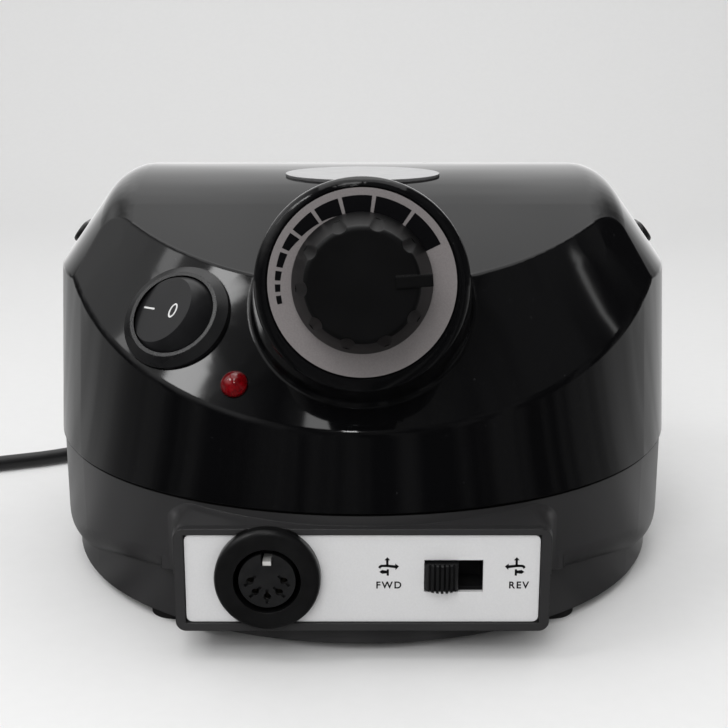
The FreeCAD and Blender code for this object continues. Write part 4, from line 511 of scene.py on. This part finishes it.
def room_mesh(shape):
    """A ball round the whole stage."""
    bmesh.ops.create_uvsphere(shape, u_segments=48, v_segments=24, radius=ROOM_RADIUS)


def stage_sheet(name, mesh_builder, material):
    """A smooth stage object from a builder that fills a bmesh."""
    shape = bmesh.new()
    mesh_builder(shape)
    mesh = bpy.data.meshes.new(name)
    shape.to_mesh(mesh)
    shape.free()
    mesh.materials.append(material)
    for face in mesh.polygons:
        face.use_smooth = True
    sheet = bpy.data.objects.new(name, mesh)
    bpy.context.scene.collection.objects.link(sheet)
    return sheet


def flag(sheet):
    """Leaves a stage object in reflections alone, so that it neither shows nor lights the box."""
    for kind in ("camera", "diffuse", "transmission", "volume_scatter", "shadow"):
        setattr(sheet, "visible_" + kind, False)


class Glow:
    """A material that only shines, with its strength set by the heading from the box's middle."""

    def __init__(self, name):
        self.material = bpy.data.materials.new(name)
        self.material.use_nodes = True
        self.nodes = self.material.node_tree.nodes
        self.links = self.material.node_tree.links
        self.nodes.clear()
        self.light = self.nodes.new("ShaderNodeEmission")
        output = self.nodes.new("ShaderNodeOutputMaterial")
        self.links.new(self.light.outputs["Emission"], output.inputs["Surface"])
        self.place = self.nodes.new("ShaderNodeTexCoord").outputs["Object"]

    def part(self, vector, axis):
        """One coordinate of a vector."""
        parts = self.nodes.new("ShaderNodeSeparateXYZ")
        self.links.new(vector, parts.inputs["Vector"])
        return parts.outputs[axis]

    def vector(self, operation, source, second=None):
        """A vector operation on one socket, with a fixed vector where there is one."""
        node = self.nodes.new("ShaderNodeVectorMath")
        node.operation = operation
        self.links.new(source, node.inputs[0])
        if second:
            node.inputs[1].default_value = second
        return node.outputs["Vector"]

    def backness(self):
        """From -1 in front of the box to 1 behind it, by the heading alone."""
        level = self.vector("MULTIPLY", self.place, (1, 1, 0))
        return self.part(self.vector("NORMALIZE", level), "Y")

    def step(self, source, ends, levels):
        """A smooth step from one level to the other as a value passes between two ends."""
        node = self.nodes.new("ShaderNodeMapRange")
        node.interpolation_type = "SMOOTHSTEP"
        for entry, value in zip(("From Min", "From Max", "To Min", "To Max"), (*ends, *levels)):
            node.inputs[entry].default_value = value
        self.links.new(source, node.inputs["Value"])
        return node.outputs["Result"]

    def both(self, operation, first, second):
        """A number operation on two sockets."""
        node = self.nodes.new("ShaderNodeMath")
        node.operation = operation
        self.links.new(first, node.inputs[0])
        self.links.new(second, node.inputs[1])
        return node.outputs["Value"]

    def shine(self, strength, dark_level):
        """Sets the strength, over a dark that has soft upright shapes in it, as a room has."""
        shapes = self.nodes.new("ShaderNodeTexNoise")
        shapes.inputs["Scale"].default_value = SHAPE_SCALE
        heading = self.vector("MULTIPLY", self.vector("NORMALIZE", self.place), SHAPE_STRETCH)
        self.links.new(heading, shapes.inputs["Vector"])
        dark = self.step(shapes.outputs["Fac"], SHAPE_EDGES, toned(SHAPE_LEVELS, dark_level))
        self.links.new(self.both("ADD", strength, dark), self.light.inputs["Strength"])


def table_flag(settings):
    """Pale under and behind the box, and dark in front of it."""
    glow = Glow("dark_table")
    behind = glow.step(glow.backness(), TABLE_BACK, (0.0, settings.paper_level))
    glow.shine(behind, settings.dark_level)
    return glow.material


def room_flag(settings):
    """Pale behind the box and high on its left, and dark elsewhere."""
    glow = Glow("dark_room")
    heading = glow.vector("NORMALIZE", glow.place)
    behind = glow.step(glow.backness(), ROOM_BACK, (0.0, settings.room_level))
    left = glow.step(glow.part(heading, "X"), ROOM_LEFT, (0.0, settings.left_level))
    high = glow.step(glow.part(heading, "Z"), ROOM_HIGH, (0.0, 1.0))
    glow.shine(glow.both("MAXIMUM", behind, glow.both("MULTIPLY", left, high)), settings.dark_level)
    return glow.material


def pale_world(settings):
    """An even pale world."""
    world = bpy.data.worlds.new("studio")
    world.use_nodes = True
    background = world.node_tree.nodes["Background"]
    background.inputs["Color"].default_value = (*WORLD_COLOUR, 1)
    background.inputs["Strength"].default_value = settings.world_level
    return world


class NAILDRILL_OT_studio(bpy.types.Operator):
    """Sets up the camera, the pale floor and backdrop, what only the polish reflects, and the lamps"""

    bl_idname = "naildrill.studio"
    bl_label = "Studio"

    def execute(self, context):
        scene = context.scene
        settings = scene.drill_studio
        camera = bpy.data.cameras.new("camera")
        camera.lens = settings.lens
        camera.sensor_width = SENSOR_WIDTH
        camera.clip_start = 0.01
        viewer = bpy.data.objects.new("camera", camera)
        scene.collection.objects.link(viewer)
        viewer.location = at(*CAMERA_PLACE).translation
        viewer.rotation_euler = (math.pi / 2 - settings.pitch, 0, 0)
        scene.camera = viewer
        scene.view_settings.view_transform = "Standard"

        paper = Tree("studio_paper", settings.floor_colour, Roughness=0.85)
        paper.tones(paper.noise(0.004, 3.0), toned(settings.floor_colour, PAPER_FLECK),
                    settings.floor_colour)
        paper.relief(paper.noise(0.0015, 2.0), 0.00001)
        stage_sheet("floor", floor_mesh, paper.material).visible_glossy = False
        flag(stage_sheet("dark_table", table_mesh, table_flag(settings)))
        flag(stage_sheet("dark_room", room_mesh, room_flag(settings)))

        soft_lamp("top_lamp", *TOP_LAMP, settings.top_power)
        soft_lamp("front_lamp", *FRONT_LAMP, settings.front_power, glossy=False)
        for name, heading, rise, distance, size, power in PANELS:
            soft_lamp(name, heading, rise, distance, size, power * settings.panel_level)
        scene.world = pale_world(settings)
        return {"FINISHED"}


# Cord

FREE_ROUTE = [(34, 100.4, 20.5), (34, 114.9, 20.5), (31.5, 130.9, 12.5), (22, 144.9, 5.5),
              (6, 151.9, 2.35), (-13, 146.9, 2.35), (-35, 133.9, 2.35), (-55, 116.9, 2.35),
              (-73, 95.2, 2.35), (-87, 71.4, 2.35), (-118, 59.4, 2.35), (-140.08, 49.97, 2.35)]
COIL_MIDDLE = (-151.9, 6.5)
COIL_START = 114.2
COIL_INNER = 19.5
COIL_PITCH = 5.1
CORD_REST = 2.35
COIL_TAIL = 30.0
POINTS_EACH_HALF = 6
TIE_BEFORE_START = 100
PLUG_POINTS = 40
TIE_POINTS = 36


def coil_route(turns):
    """Control points of half turns that spiral in on the floor, climb over and spiral out on top.

    After them come the end of the cord and its heading there.
    """
    start = math.radians(COIL_START)
    across = Vector((math.cos(start), math.sin(start), 0))
    ahead = Vector((-math.sin(start), math.cos(start), 0))
    middle = Vector((*COIL_MIDDLE, 0))
    step = COIL_PITCH / 2
    high = CORD_REST + COIL_PITCH
    outer = COIL_INNER + (turns - 1) * COIL_PITCH
    down = [(outer - step * half, CORD_REST, CORD_REST) for half in range(2 * turns - 1)]
    climb = [(COIL_INNER - step, CORD_REST, high)]
    up = [(COIL_INNER + step * half, high, high) for half in range(2 * turns - 2)]
    spacing = math.pi / POINTS_EACH_HALF
    overshoot = 1 / math.cos(spacing / 2)
    points = []

    def bend(centre, reach, low, top, count):
        for index in range(count):
            angle = spacing * (index + 0.5)
            height = low + (top - low) * (index + 0.5) / POINTS_EACH_HALF
            points.append(middle + across * (centre + reach * math.cos(angle))
                          + ahead * (reach * math.sin(angle)) + Vector((0, 0, height)))

    along, side = outer, 1
    for size, low, top in down + climb + up:
        bend(along - side * size, side * size * overshoot, low, top, POINTS_EACH_HALF)
        along -= 2 * side * size
        side = -side
    size = up[-1][0] + step
    centre = along - side * size
    bend(centre, side * size * overshoot, high, high, POINTS_EACH_HALF // 2)
    heading = across * (-side)
    end = middle + across * centre + ahead * (side * size) + Vector((0, 0, high)) + heading * COIL_TAIL
    return points + [end], end, heading


def plug_body_mesh(shape):
    """A moulded plug along Z: a ribbed collar, a waist with finger grooves and a rounded face.

    Each section is a height, half the thickness, half the width and how square its outline is.
    """
    sections = [(0.0, 3.1, 3.1, 2.0), (1.2, 3.6, 3.6, 2.0), (2.6, 3.0, 3.1, 2.0),
                (4.0, 3.9, 4.0, 2.1), (5.2, 3.3, 3.5, 2.2), (6.6, 4.3, 4.7, 2.4),
                (8.0, 4.0, 4.9, 2.6), (10.0, 5.0, 7.0, 3.0), (13.0, 5.6, 8.8, 3.4),
                (15.5, 5.8, 9.6, 3.6), (16.5, 5.5, 9.3, 3.6), (17.5, 5.9, 9.8, 3.6),
                (18.5, 5.6, 9.5, 3.6), (19.5, 6.1, 10.0, 3.6), (20.5, 5.8, 9.7, 3.6),
                (21.5, 6.3, 10.2, 3.8), (24.0, 6.7, 10.6, 4.0), (27.5, 7.1, 10.9, 4.2),
                (29.2, 7.15, 10.85, 4.2), (29.8, 6.9, 10.6, 4.2), (30.0, 6.3, 10.0, 4.2)]
    count = PLUG_POINTS
    rings = []
    for z, half_thick, half_wide, power in sections:
        ring = []
        for index in range(count):
            angle = 2 * math.pi * index / count
            c, s = math.cos(angle), math.sin(angle)
            x = math.copysign(abs(c) ** (2 / power), c) * half_thick
            y = math.copysign(abs(s) ** (2 / power), s) * half_wide
            ring.append(shape.verts.new((x * MM, y * MM, z * MM)))
        rings.append(ring)
    for below, above in zip(rings, rings[1:]):
        for index in range(count):
            ahead = (index + 1) % count
            shape.faces.new((below[index], below[ahead], above[ahead], above[index]))
    shape.faces.new(list(reversed(rings[0])))
    shape.faces.new(rings[-1])


def tie_mesh(shape):
    """A flat strap wrapped round the stacked turns of the coil, along Y at the origin."""
    half_wide, low, high, thick, width = 11.6, 0.05, 9.9, 0.7, 7.0
    flat_sides, flat_top = 0.45, 0.6
    count = TIE_POINTS
    rings = []
    for grow in (0.0, thick):
        for edge in (-width / 2, width / 2):
            ring = []
            for index in range(count):
                angle = 2 * math.pi * index / count
                c, s = math.cos(angle), math.sin(angle)
                x = math.copysign(abs(c) ** flat_sides, c) * (half_wide - thick + grow)
                rise = math.copysign(abs(s) ** flat_top, s) * ((high - low) / 2 - thick + grow)
                z = (low + high) / 2 + rise
                ring.append(shape.verts.new((x * MM, edge * MM, z * MM)))
            rings.append(ring)
    inner_left, inner_right, outer_left, outer_right = rings
    for first, second in ((inner_left, inner_right), (outer_right, outer_left),
                          (inner_right, outer_right), (outer_left, inner_left)):
        for index in range(count):
            ahead = (index + 1) % count
            shape.faces.new((first[index], first[ahead], second[ahead], second[index]))


class NAILDRILL_OT_cord(bpy.types.Operator):
    """Lays the mains cord from its sleeve round to the coil, with its tie and plug"""

    bl_idname = "naildrill.cord"
    bl_label = "Mains Cord"

    def execute(self, context):
        settings = context.scene.drill_cord
        jacket = cord_jacket()
        coil, end, heading = coil_route(settings.coil_turns)
        route = [Vector(point) for point in FREE_ROUTE] + coil
        curve = bpy.data.curves.new("mains_cord", "CURVE")
        curve.dimensions = "3D"
        curve.bevel_depth = settings.diameter / 2
        curve.bevel_resolution = 6
        curve.resolution_u = 6
        curve.use_fill_caps = True
        line = curve.splines.new("NURBS")
        line.points.add(len(route) - 1)
        for knot, point in zip(line.points, route):
            knot.co = (*(point * MM), 1)
        line.order_u = 3
        line.use_endpoint_u = True
        curve.materials.append(jacket)
        cord = bpy.data.objects.new("mains_cord", curve)
        context.scene.collection.objects.link(cord)
        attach(cord, "root")
        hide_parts("power_cord", "cord_coil")

        towards = math.degrees(math.atan2(heading.y, heading.x))
        place = at(*end) @ turn(towards, "Z") @ turn(90, "Y")
        plug = new_piece("mains_plug", plug_body_mesh, jacket, place=place)
        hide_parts("power_plug")
        strap = moulded("woven_strap", (0.012, 0.012, 0.013), (0.03, 0.03, 0.032), (0.75, 0.9),
                        0.002, 0.0005, 0.00008)
        middle = COIL_INNER + (settings.coil_turns - 1) * COIL_PITCH / 2 - COIL_PITCH / 4
        tie_place = at(*COIL_MIDDLE, 0) @ turn(COIL_START - TIE_BEFORE_START, "Z") @ at(middle, 0, 0)
        tie = new_piece("cord_tie", tie_mesh, strap, place=tie_place)
        for piece in (cord, plug, tie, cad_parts["plug_pins"]):
            piece.visible_glossy = False
        finish(moulded("sleeve_rubber", (0.010, 0.010, 0.011), (0.02, 0.02, 0.021), (0.45, 0.6),
                       0.004, 0.0004, 0.00002, 0.0002), "strain_relief")
        finish(metal("plated_blade", (0.55, 0.53, 0.5), (0.78, 0.76, 0.72), (0.18, 0.34),
                     (1.0, 1.0, 12.0), 0.002, 0.000006, 0.0002), "plug_pins")
        return {"FINISHED"}


# Housing and its trim

class NAILDRILL_OT_housing(bpy.types.Operator):
    """Gives the two shells their gloss and satin, and the feet, screws and studs their finishes"""

    bl_idname = "naildrill.housing"
    bl_label = "Housing"

    def execute(self, context):
        finish(shell_gloss(context.scene.drill_box), "upper_shell")
        finish(shell_satin(context.scene.drill_box), "lower_shell")
        finish(moulded("foot_rubber", (0.004, 0.004, 0.004), (0.011, 0.0105, 0.010), (0.7, 0.9),
                       0.003, 0.0003, 0.00003, 0.0002), "rubber_feet")
        finish(metal("zinc_plated_steel", (0.36, 0.36, 0.37), (0.6, 0.6, 0.61), (0.24, 0.42),
                     (1.0, 1.0, 4.0), 0.0015, 0.00001, 0.0001),
               "case_screws", "transformer_screws", "board_screws", "rocker_pin", "potentiometer_nut",
               "foot_jack_nut", "transformer_bracket")
        finish(moulded("stud_plastic", (0.004, 0.004, 0.0045), (0.009, 0.009, 0.0095), (0.3, 0.42),
                       0.004, 0.0004, 0.00001, 0.0003), "holder_stud_left", "holder_stud_right")
        return {"FINISHED"}


class NAILDRILL_OT_badge(bpy.types.Operator):
    """Finishes the bare oval plate on the roof"""

    bl_idname = "naildrill.badge"
    bl_label = "Roof Badge"

    def execute(self, context):
        finish(metal("brushed_badge", (0.42, 0.42, 0.425), (0.52, 0.52, 0.525), (0.26, 0.34),
                     (1.0, 14.0, 14.0), 0.004, 0.000003, 0.0003, Metallic=0.8), "badge_plate")
        return {"FINISHED"}


# Dial and knob

SCALE_OUTER = 17.2
SCALE_GAP = 0.8
SCALE_POINTS = 9

# The ends of the scale's steps, in degrees anticlockwise from the right, and the depth there

SCALE_STEPS = [(194.2, 0.98), (187.3, 1.02), (179.6, 1.10), (170.6, 1.26), (157.8, 1.50),
               (143.8, 2.25), (124.6, 2.80), (104.9, 3.35), (82.1, 3.65), (54.3, 3.90), (26.4, 4.10)]


def scale_mesh(height):
    """The speed scale: a band that widens clockwise, parted by narrow gaps."""
    def build(shape):
        for index in range(len(SCALE_STEPS) - 1):
            (before, narrow), (after, wide) = SCALE_STEPS[index:index + 2]
            trim = math.degrees(SCALE_GAP / 2 / SCALE_OUTER)
            first = before - (trim if index else 0)
            last = after + (trim if index < len(SCALE_STEPS) - 2 else 0)
            outer, inner = [], []
            for step in range(SCALE_POINTS):
                share = step / (SCALE_POINTS - 1)
                angle = math.radians(first + (last - first) * share)
                depth = narrow + (wide - narrow) * share
                for rail, radius in ((outer, SCALE_OUTER), (inner, SCALE_OUTER - depth)):
                    rail.append((radius * math.cos(angle), radius * math.sin(angle)))
            strip(shape, outer, inner, 0.0, height / MM)
    return build


class NAILDRILL_OT_dial(bpy.types.Operator):
    """Finishes the grey dial ring, prints its speed scale and finishes the knob"""

    bl_idname = "naildrill.dial"
    bl_label = "Dial and Knob"

    def execute(self, context):
        settings = context.scene.drill_box
        ring = Tree("dial_lacquer", settings.dial_colour, Metallic=0.15)
        flake = ring.noise(0.0003, 3.0)
        ring.tones(flake, toned(settings.dial_colour, DIAL_FLAKE), settings.dial_colour)
        ring.sheen_range(ring.noise(0.01, 2.0), 0.42, 0.52)
        ring.relief(flake, 0.000008, 0.0001)
        finish(ring.material, "dial_label")
        ink = print_ink("scale_ink", (0.0016, 0.0016, 0.0022))
        new_piece("speed_scale", scale_mesh(settings.mark_height), ink,
                  smooth=False, place=dial_place())
        finish(moulded("knob_plastic", (0.002, 0.002, 0.0022), (0.003, 0.003, 0.0033), (0.40, 0.46),
                       0.01, 0.0003, 0.000006, 0.0005, Specular_IOR_Level=0.2), "speed_knob")
        return {"FINISHED"}


# Rocker and lamp

MARK_LINE = 0.42
RING_POINTS = 40
BAR_MIDDLE, BAR_LENGTH, BAR_LEAN = (-4.45, 0.3), 3.5, math.radians(-6)
RING_MIDDLE, RING_SIZE, RING_LEAN = (3.3, -0.2), (2.2, 3.5), math.radians(-6)


def rocker_place():
    """The rocker's flat face as it stands at rest, with Z out of it."""
    return (band_place(ROCKER_AZIMUTH, ROCKER_HEIGHT, PIVOT_DEPTH) @ turn(ROCKER_TWIST, "Z")
            @ turn(ROCKER_TILT, "Y") @ at(0, 0, PADDLE_FACE))


def rocker_marks_mesh(height):
    """The usual bar and ring of a power switch."""
    def build(shape):
        along = Vector((math.cos(BAR_LEAN), math.sin(BAR_LEAN)))
        aside = Vector((-along.y, along.x)) * MARK_LINE / 2
        ends = [Vector(BAR_MIDDLE) + side * along * BAR_LENGTH / 2 for side in (-1, 1)]
        strip(shape, [end + aside for end in ends], [end - aside for end in ends], 0.0, height / MM)
        outer, inner = [], []
        lean = Matrix.Rotation(RING_LEAN, 2)
        for step in range(RING_POINTS):
            angle = 2 * math.pi * step / RING_POINTS
            point = Vector((math.cos(angle), math.sin(angle)))
            for rail, line in ((outer, 0), (inner, MARK_LINE)):
                across, up = RING_SIZE[0] / 2 - line, RING_SIZE[1] / 2 - line
                rail.append(Vector(RING_MIDDLE) + lean @ Vector((across * point.x, up * point.y)))
        strip(shape, outer, inner, 0.0, height / MM, closed=True)
    return build


class NAILDRILL_OT_rocker(bpy.types.Operator):
    """Finishes the round power rocker and prints its bar and ring"""

    bl_idname = "naildrill.rocker"
    bl_label = "Power Rocker"

    def execute(self, context):
        settings = context.scene.drill_box
        finish(moulded("bezel_nylon", (0.006, 0.006, 0.0065), (0.009, 0.009, 0.0095), (0.24, 0.32),
                       0.006, 0.0003, 0.000008, 0.00015, Specular_IOR_Level=0.35), "rocker_housing")
        finish(moulded("paddle_nylon", (0.007, 0.007, 0.0076), (0.009, 0.009, 0.010), (0.30, 0.38),
                       0.006, 0.0003, 0.000008, 0.00015, Specular_IOR_Level=0.3), "rocker_paddle")
        ink = print_ink("white_ink", (0.55, 0.55, 0.55))
        new_piece("rocker_marks", rocker_marks_mesh(settings.mark_height), ink, body="rocker",
                  smooth=False, place=rocker_place())
        return {"FINISHED"}


class NAILDRILL_OT_lamp(bpy.types.Operator):
    """Finishes the red power lamp"""

    bl_idname = "naildrill.lamp"
    bl_label = "Power Lamp"

    def execute(self, context):
        lens = Tree("ruby_lens", (0.16, 0.001, 0.004), Roughness=0.03, IOR=1.55)
        lens.surface.inputs["Transmission Weight"].default_value = 0.3
        cloud = lens.noise(0.0012, 2.0)
        lens.tones(cloud, (0.12, 0.0008, 0.0025), (0.2, 0.0015, 0.0045))
        lens.relief(lens.noise(0.002, 1.0), 0.000006)
        finish(lens.material, "led_lens")
        finish(metal("tinned_lead", (0.6, 0.6, 0.6), (0.8, 0.8, 0.79), (0.2, 0.35),
                     (1.0, 1.0, 6.0), 0.001, 0.000004), "led_leads")
        return {"FINISHED"}


# Front panel

# The symbol in millimetres from its middle: the rails of each bar, then the arrow heads' corners

SYMBOL_STRIPS = [
    ([(-0.24, 1.45), (-0.24, 0.2)], [(0.24, 1.45), (0.24, 0.2)]),
    ([(-1.88, -0.16), (-1.74, 0.16), (-1.3, 0.42), (0, 0.46), (1.7, 0.28)],
     [(-1.46, -0.5), (-1.36, -0.24), (-1.08, -0.08), (0, -0.1), (1.7, -0.34)]),
    ([(-1.02, -0.76), (-0.12, -0.9)], [(-1.02, -1.58), (-0.12, -1.48)]),
    ([(-0.12, -0.6), (-0.12, -2.0)], [(0.34, -0.6), (0.34, -2.0)]),
]
SYMBOL_POINTS = [
    [(0, 2.1), (-0.6, 1.42), (0.6, 1.42)],
    [(1.64, 0.68), (2.42, 0.06), (1.71, -0.76)],
    [(-1.66, -1.16), (-1.02, -0.7), (-1.02, -1.64)],
]


def symbol_mesh(side, height):
    """An arrow that turns about an upright axis, to one side or mirrored to the other."""
    def mirrored(points):
        return [(side * x, y) for x, y in points]

    def build(shape):
        for first, second in SYMBOL_STRIPS:
            strip(shape, mirrored(first), mirrored(second), 0.0, height / MM)
        for outline in SYMBOL_POINTS:
            slab(shape, mirrored(outline), 0.0, height / MM)
    return build


WORD_WEIGHT = 0.045
WORD_SIZE = 2.15
WORD_SPACING = 1.25

# Where the marks stand on the front plate

FORWARD_X, REVERSE_X, SYMBOL_Z = 5.2, 32.1, 21.7
FORWARD_WORD_X, REVERSE_WORD_X, WORD_Z = 5.5, 32.65, 17.5


def printed_word(word, x, height, material):
    """A short word printed on the front plate, centred at x."""
    text = bpy.data.curves.new(word, "FONT")
    text.body = word
    text.size = WORD_SIZE * MM
    text.align_x = "CENTER"
    text.align_y = "CENTER"
    text.space_character = WORD_SPACING
    text.extrude = height / 2
    text.offset = WORD_WEIGHT * MM
    holder = bpy.data.objects.new("draft_" + word, text)
    bpy.context.scene.collection.objects.link(holder)
    bpy.context.view_layer.update()
    graph = bpy.context.evaluated_depsgraph_get()
    mesh = bpy.data.meshes.new_from_object(holder.evaluated_get(graph))
    bpy.data.objects.remove(holder)
    bpy.data.curves.remove(text)
    mesh.transform(front_place(x, WORD_Z) @ Matrix.Translation((0, 0, height / 2)))
    mesh.materials.clear()
    mesh.materials.append(material)
    piece = bpy.data.objects.new("word_" + word.lower(), mesh)
    bpy.context.scene.collection.objects.link(piece)
    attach(piece, "root")


class NAILDRILL_OT_front(bpy.types.Operator):
    """Finishes the front plate, its socket and slide switch, and prints the turning marks"""

    bl_idname = "naildrill.front"
    bl_label = "Front Panel"

    def execute(self, context):
        settings = context.scene.drill_box
        finish(plate_silver(settings), "front_plate")
        finish(moulded("socket_nylon", (0.004, 0.004, 0.0042), (0.006, 0.006, 0.0063), (0.28, 0.36),
                       0.004, 0.0003, 0.00001, 0.0003, Specular_IOR_Level=0.3), "handpiece_socket")
        finish(moulded("core_phenolic", (0.009, 0.009, 0.0095), (0.012, 0.012, 0.0125), (0.38, 0.5),
                       0.003, 0.0003, 0.000012, 0.00015, Specular_IOR_Level=0.3), "socket_core")
        finish(metal("contact_metal", (0.72, 0.7, 0.66), (0.9, 0.88, 0.84), (0.12, 0.25),
                     (1.0, 6.0, 1.0), 0.001, 0.000004, 0.0001), "socket_contacts")
        finish(metal("bright_contact", (0.84, 0.83, 0.8), (0.95, 0.94, 0.92), (0.34, 0.46),
                     (1.0, 6.0, 1.0), 0.001, 0.000004, 0.0001, Metallic=0.45), "socket_earth_tab")
        finish(moulded("slider_plastic", (0.006, 0.006, 0.0065), (0.009, 0.009, 0.0095), (0.32, 0.42),
                       0.003, 0.0003, 0.00001, 0.00015, Specular_IOR_Level=0.35), "direction_slider")
        finish(moulded("switch_body", (0.006, 0.006, 0.007), (0.012, 0.012, 0.012), (0.5, 0.65),
                       0.003, 0.0004, 0.00001), "direction_switch_frame")
        ink = print_ink("front_ink", (0.004, 0.004, 0.0045))
        for name, side, x in (("forward_symbol", 1, FORWARD_X), ("reverse_symbol", -1, REVERSE_X)):
            new_piece(name, symbol_mesh(side, settings.mark_height), ink,
                      smooth=False, place=front_place(x, SYMBOL_Z))
        for word, x in (("FWD", FORWARD_WORD_X), ("REV", REVERSE_WORD_X)):
            printed_word(word, x, settings.mark_height, ink)
        return {"FINISHED"}


# Rear fittings and the inside

class NAILDRILL_OT_rear(bpy.types.Operator):
    """Finishes the fuse holder, the pedal socket and the mode switch on the back"""

    bl_idname = "naildrill.rear"
    bl_label = "Rear Fittings"

    def execute(self, context):
        finish(moulded("fitting_nylon", (0.012, 0.012, 0.013), (0.022, 0.022, 0.023), (0.34, 0.46),
                       0.004, 0.0003, 0.000012, 0.0002), "fuse_holder", "fuse_cap", "mode_switch_frame")
        finish(moulded("mode_slider_plastic", (0.02, 0.02, 0.021), (0.03, 0.03, 0.031), (0.4, 0.52),
                       0.002, 0.0003, 0.00001, 0.00015), "mode_slider")
        finish(moulded("jack_plastic", (0.012, 0.012, 0.013), (0.02, 0.02, 0.021), (0.4, 0.5),
                       0.003, 0.0003, 0.00001, 0.00015), "foot_pedal_jack")
        return {"FINISHED"}


class NAILDRILL_OT_inside(bpy.types.Operator):
    """Finishes the transformer, the circuit board and the terminals"""

    bl_idname = "naildrill.inside"
    bl_label = "Inside"

    def execute(self, context):
        finish(metal("varnished_lamination", (0.10, 0.095, 0.09), (0.22, 0.21, 0.2), (0.35, 0.55),
                     (1.0, 1.0, 30.0), 0.01, 0.00006, 0.0002), "transformer_core")
        finish(moulded("winding_tape", (0.42, 0.24, 0.03), (0.55, 0.33, 0.05), (0.3, 0.5),
                       0.01, 0.0008, 0.00004, 0.0003), "transformer_windings")
        board = Tree("board_mask", (0.01, 0.09, 0.03), Roughness=0.35)
        tracks = board.add("ShaderNodeTexVoronoi", feature="DISTANCE_TO_EDGE", Scale=260.0)
        board.join(board.place, "Object", tracks, "Vector")
        board.tones(tracks, (0.02, 0.16, 0.05), (0.008, 0.075, 0.025), 0.02, 0.05, output="Distance")
        board.relief(tracks, 0.00003, 0.0001, output="Distance")
        finish(board.material, "control_board")
        finish(moulded("capacitor_sleeve", (0.010, 0.012, 0.03), (0.02, 0.024, 0.05), (0.22, 0.34),
                       0.004, 0.0005, 0.00001, 0.0003), "smoothing_capacitor")
        finish(moulded("epoxy_package", (0.012, 0.012, 0.012), (0.024, 0.024, 0.024), (0.5, 0.7),
                       0.001, 0.0002, 0.00002, 0.0001), "rectifier", "power_transistor")
        finish(metal("extruded_aluminium", (0.5, 0.5, 0.51), (0.75, 0.75, 0.76), (0.3, 0.5),
                     (1.0, 1.0, 20.0), 0.004, 0.00002, 0.0002), "heat_sink")
        finish(moulded("cream_nylon", (0.6, 0.56, 0.45), (0.72, 0.68, 0.56), (0.4, 0.55),
                       0.003, 0.0004, 0.00001, 0.0002), "board_connectors")
        finish(metal("tinned_terminal", (0.55, 0.55, 0.54), (0.8, 0.79, 0.76), (0.2, 0.4),
                     (1.0, 8.0, 1.0), 0.001, 0.000006, 0.0001),
               "direction_switch_terminals", "potentiometer_terminals", "rocker_terminals",
               "mode_switch_terminals")
        finish(metal("turned_can", (0.45, 0.45, 0.46), (0.72, 0.72, 0.72), (0.22, 0.38),
                     (1.0, 10.0, 1.0), 0.002, 0.00001, 0.0002), "potentiometer", "potentiometer_shaft")
        return {"FINISHED"}


class NAILDRILL_PT_panel(bpy.types.Panel):
    """Lists the steps that dress the box"""

    bl_idname = "NAILDRILL_PT_panel"
    bl_label = "Nail Drill"
    bl_space_type = "VIEW_3D"
    bl_region_type = "UI"
    bl_category = "Nail Drill"

    def draw(self, context):
        layout = self.layout
        for operator in OPERATORS:
            layout.operator(operator.bl_idname)
        for group in (context.scene.drill_box, context.scene.drill_cord, context.scene.drill_studio):
            column = layout.column()
            for name in group.__annotations__:
                column.prop(group, name)


OPERATORS = (NAILDRILL_OT_studio, NAILDRILL_OT_cord, NAILDRILL_OT_housing, NAILDRILL_OT_badge,
             NAILDRILL_OT_dial, NAILDRILL_OT_rocker, NAILDRILL_OT_lamp, NAILDRILL_OT_front,
             NAILDRILL_OT_rear, NAILDRILL_OT_inside)
CLASSES = (BoxSettings, CordSettings, StudioSettings, *OPERATORS, NAILDRILL_PT_panel)


def register():
    for item in CLASSES:
        bpy.utils.register_class(item)
    bpy.types.Scene.drill_box = PointerProperty(type=BoxSettings)
    bpy.types.Scene.drill_cord = PointerProperty(type=CordSettings)
    bpy.types.Scene.drill_studio = PointerProperty(type=StudioSettings)


def unregister():
    for name in ("drill_box", "drill_cord", "drill_studio"):
        delattr(bpy.types.Scene, name)
    for item in reversed(CLASSES):
        bpy.utils.unregister_class(item)


def main():
    register()
    for operator in OPERATORS:
        group, name = operator.bl_idname.split(".")
        getattr(getattr(bpy.ops, group), name)()


if __name__ == "__main__":
    main()
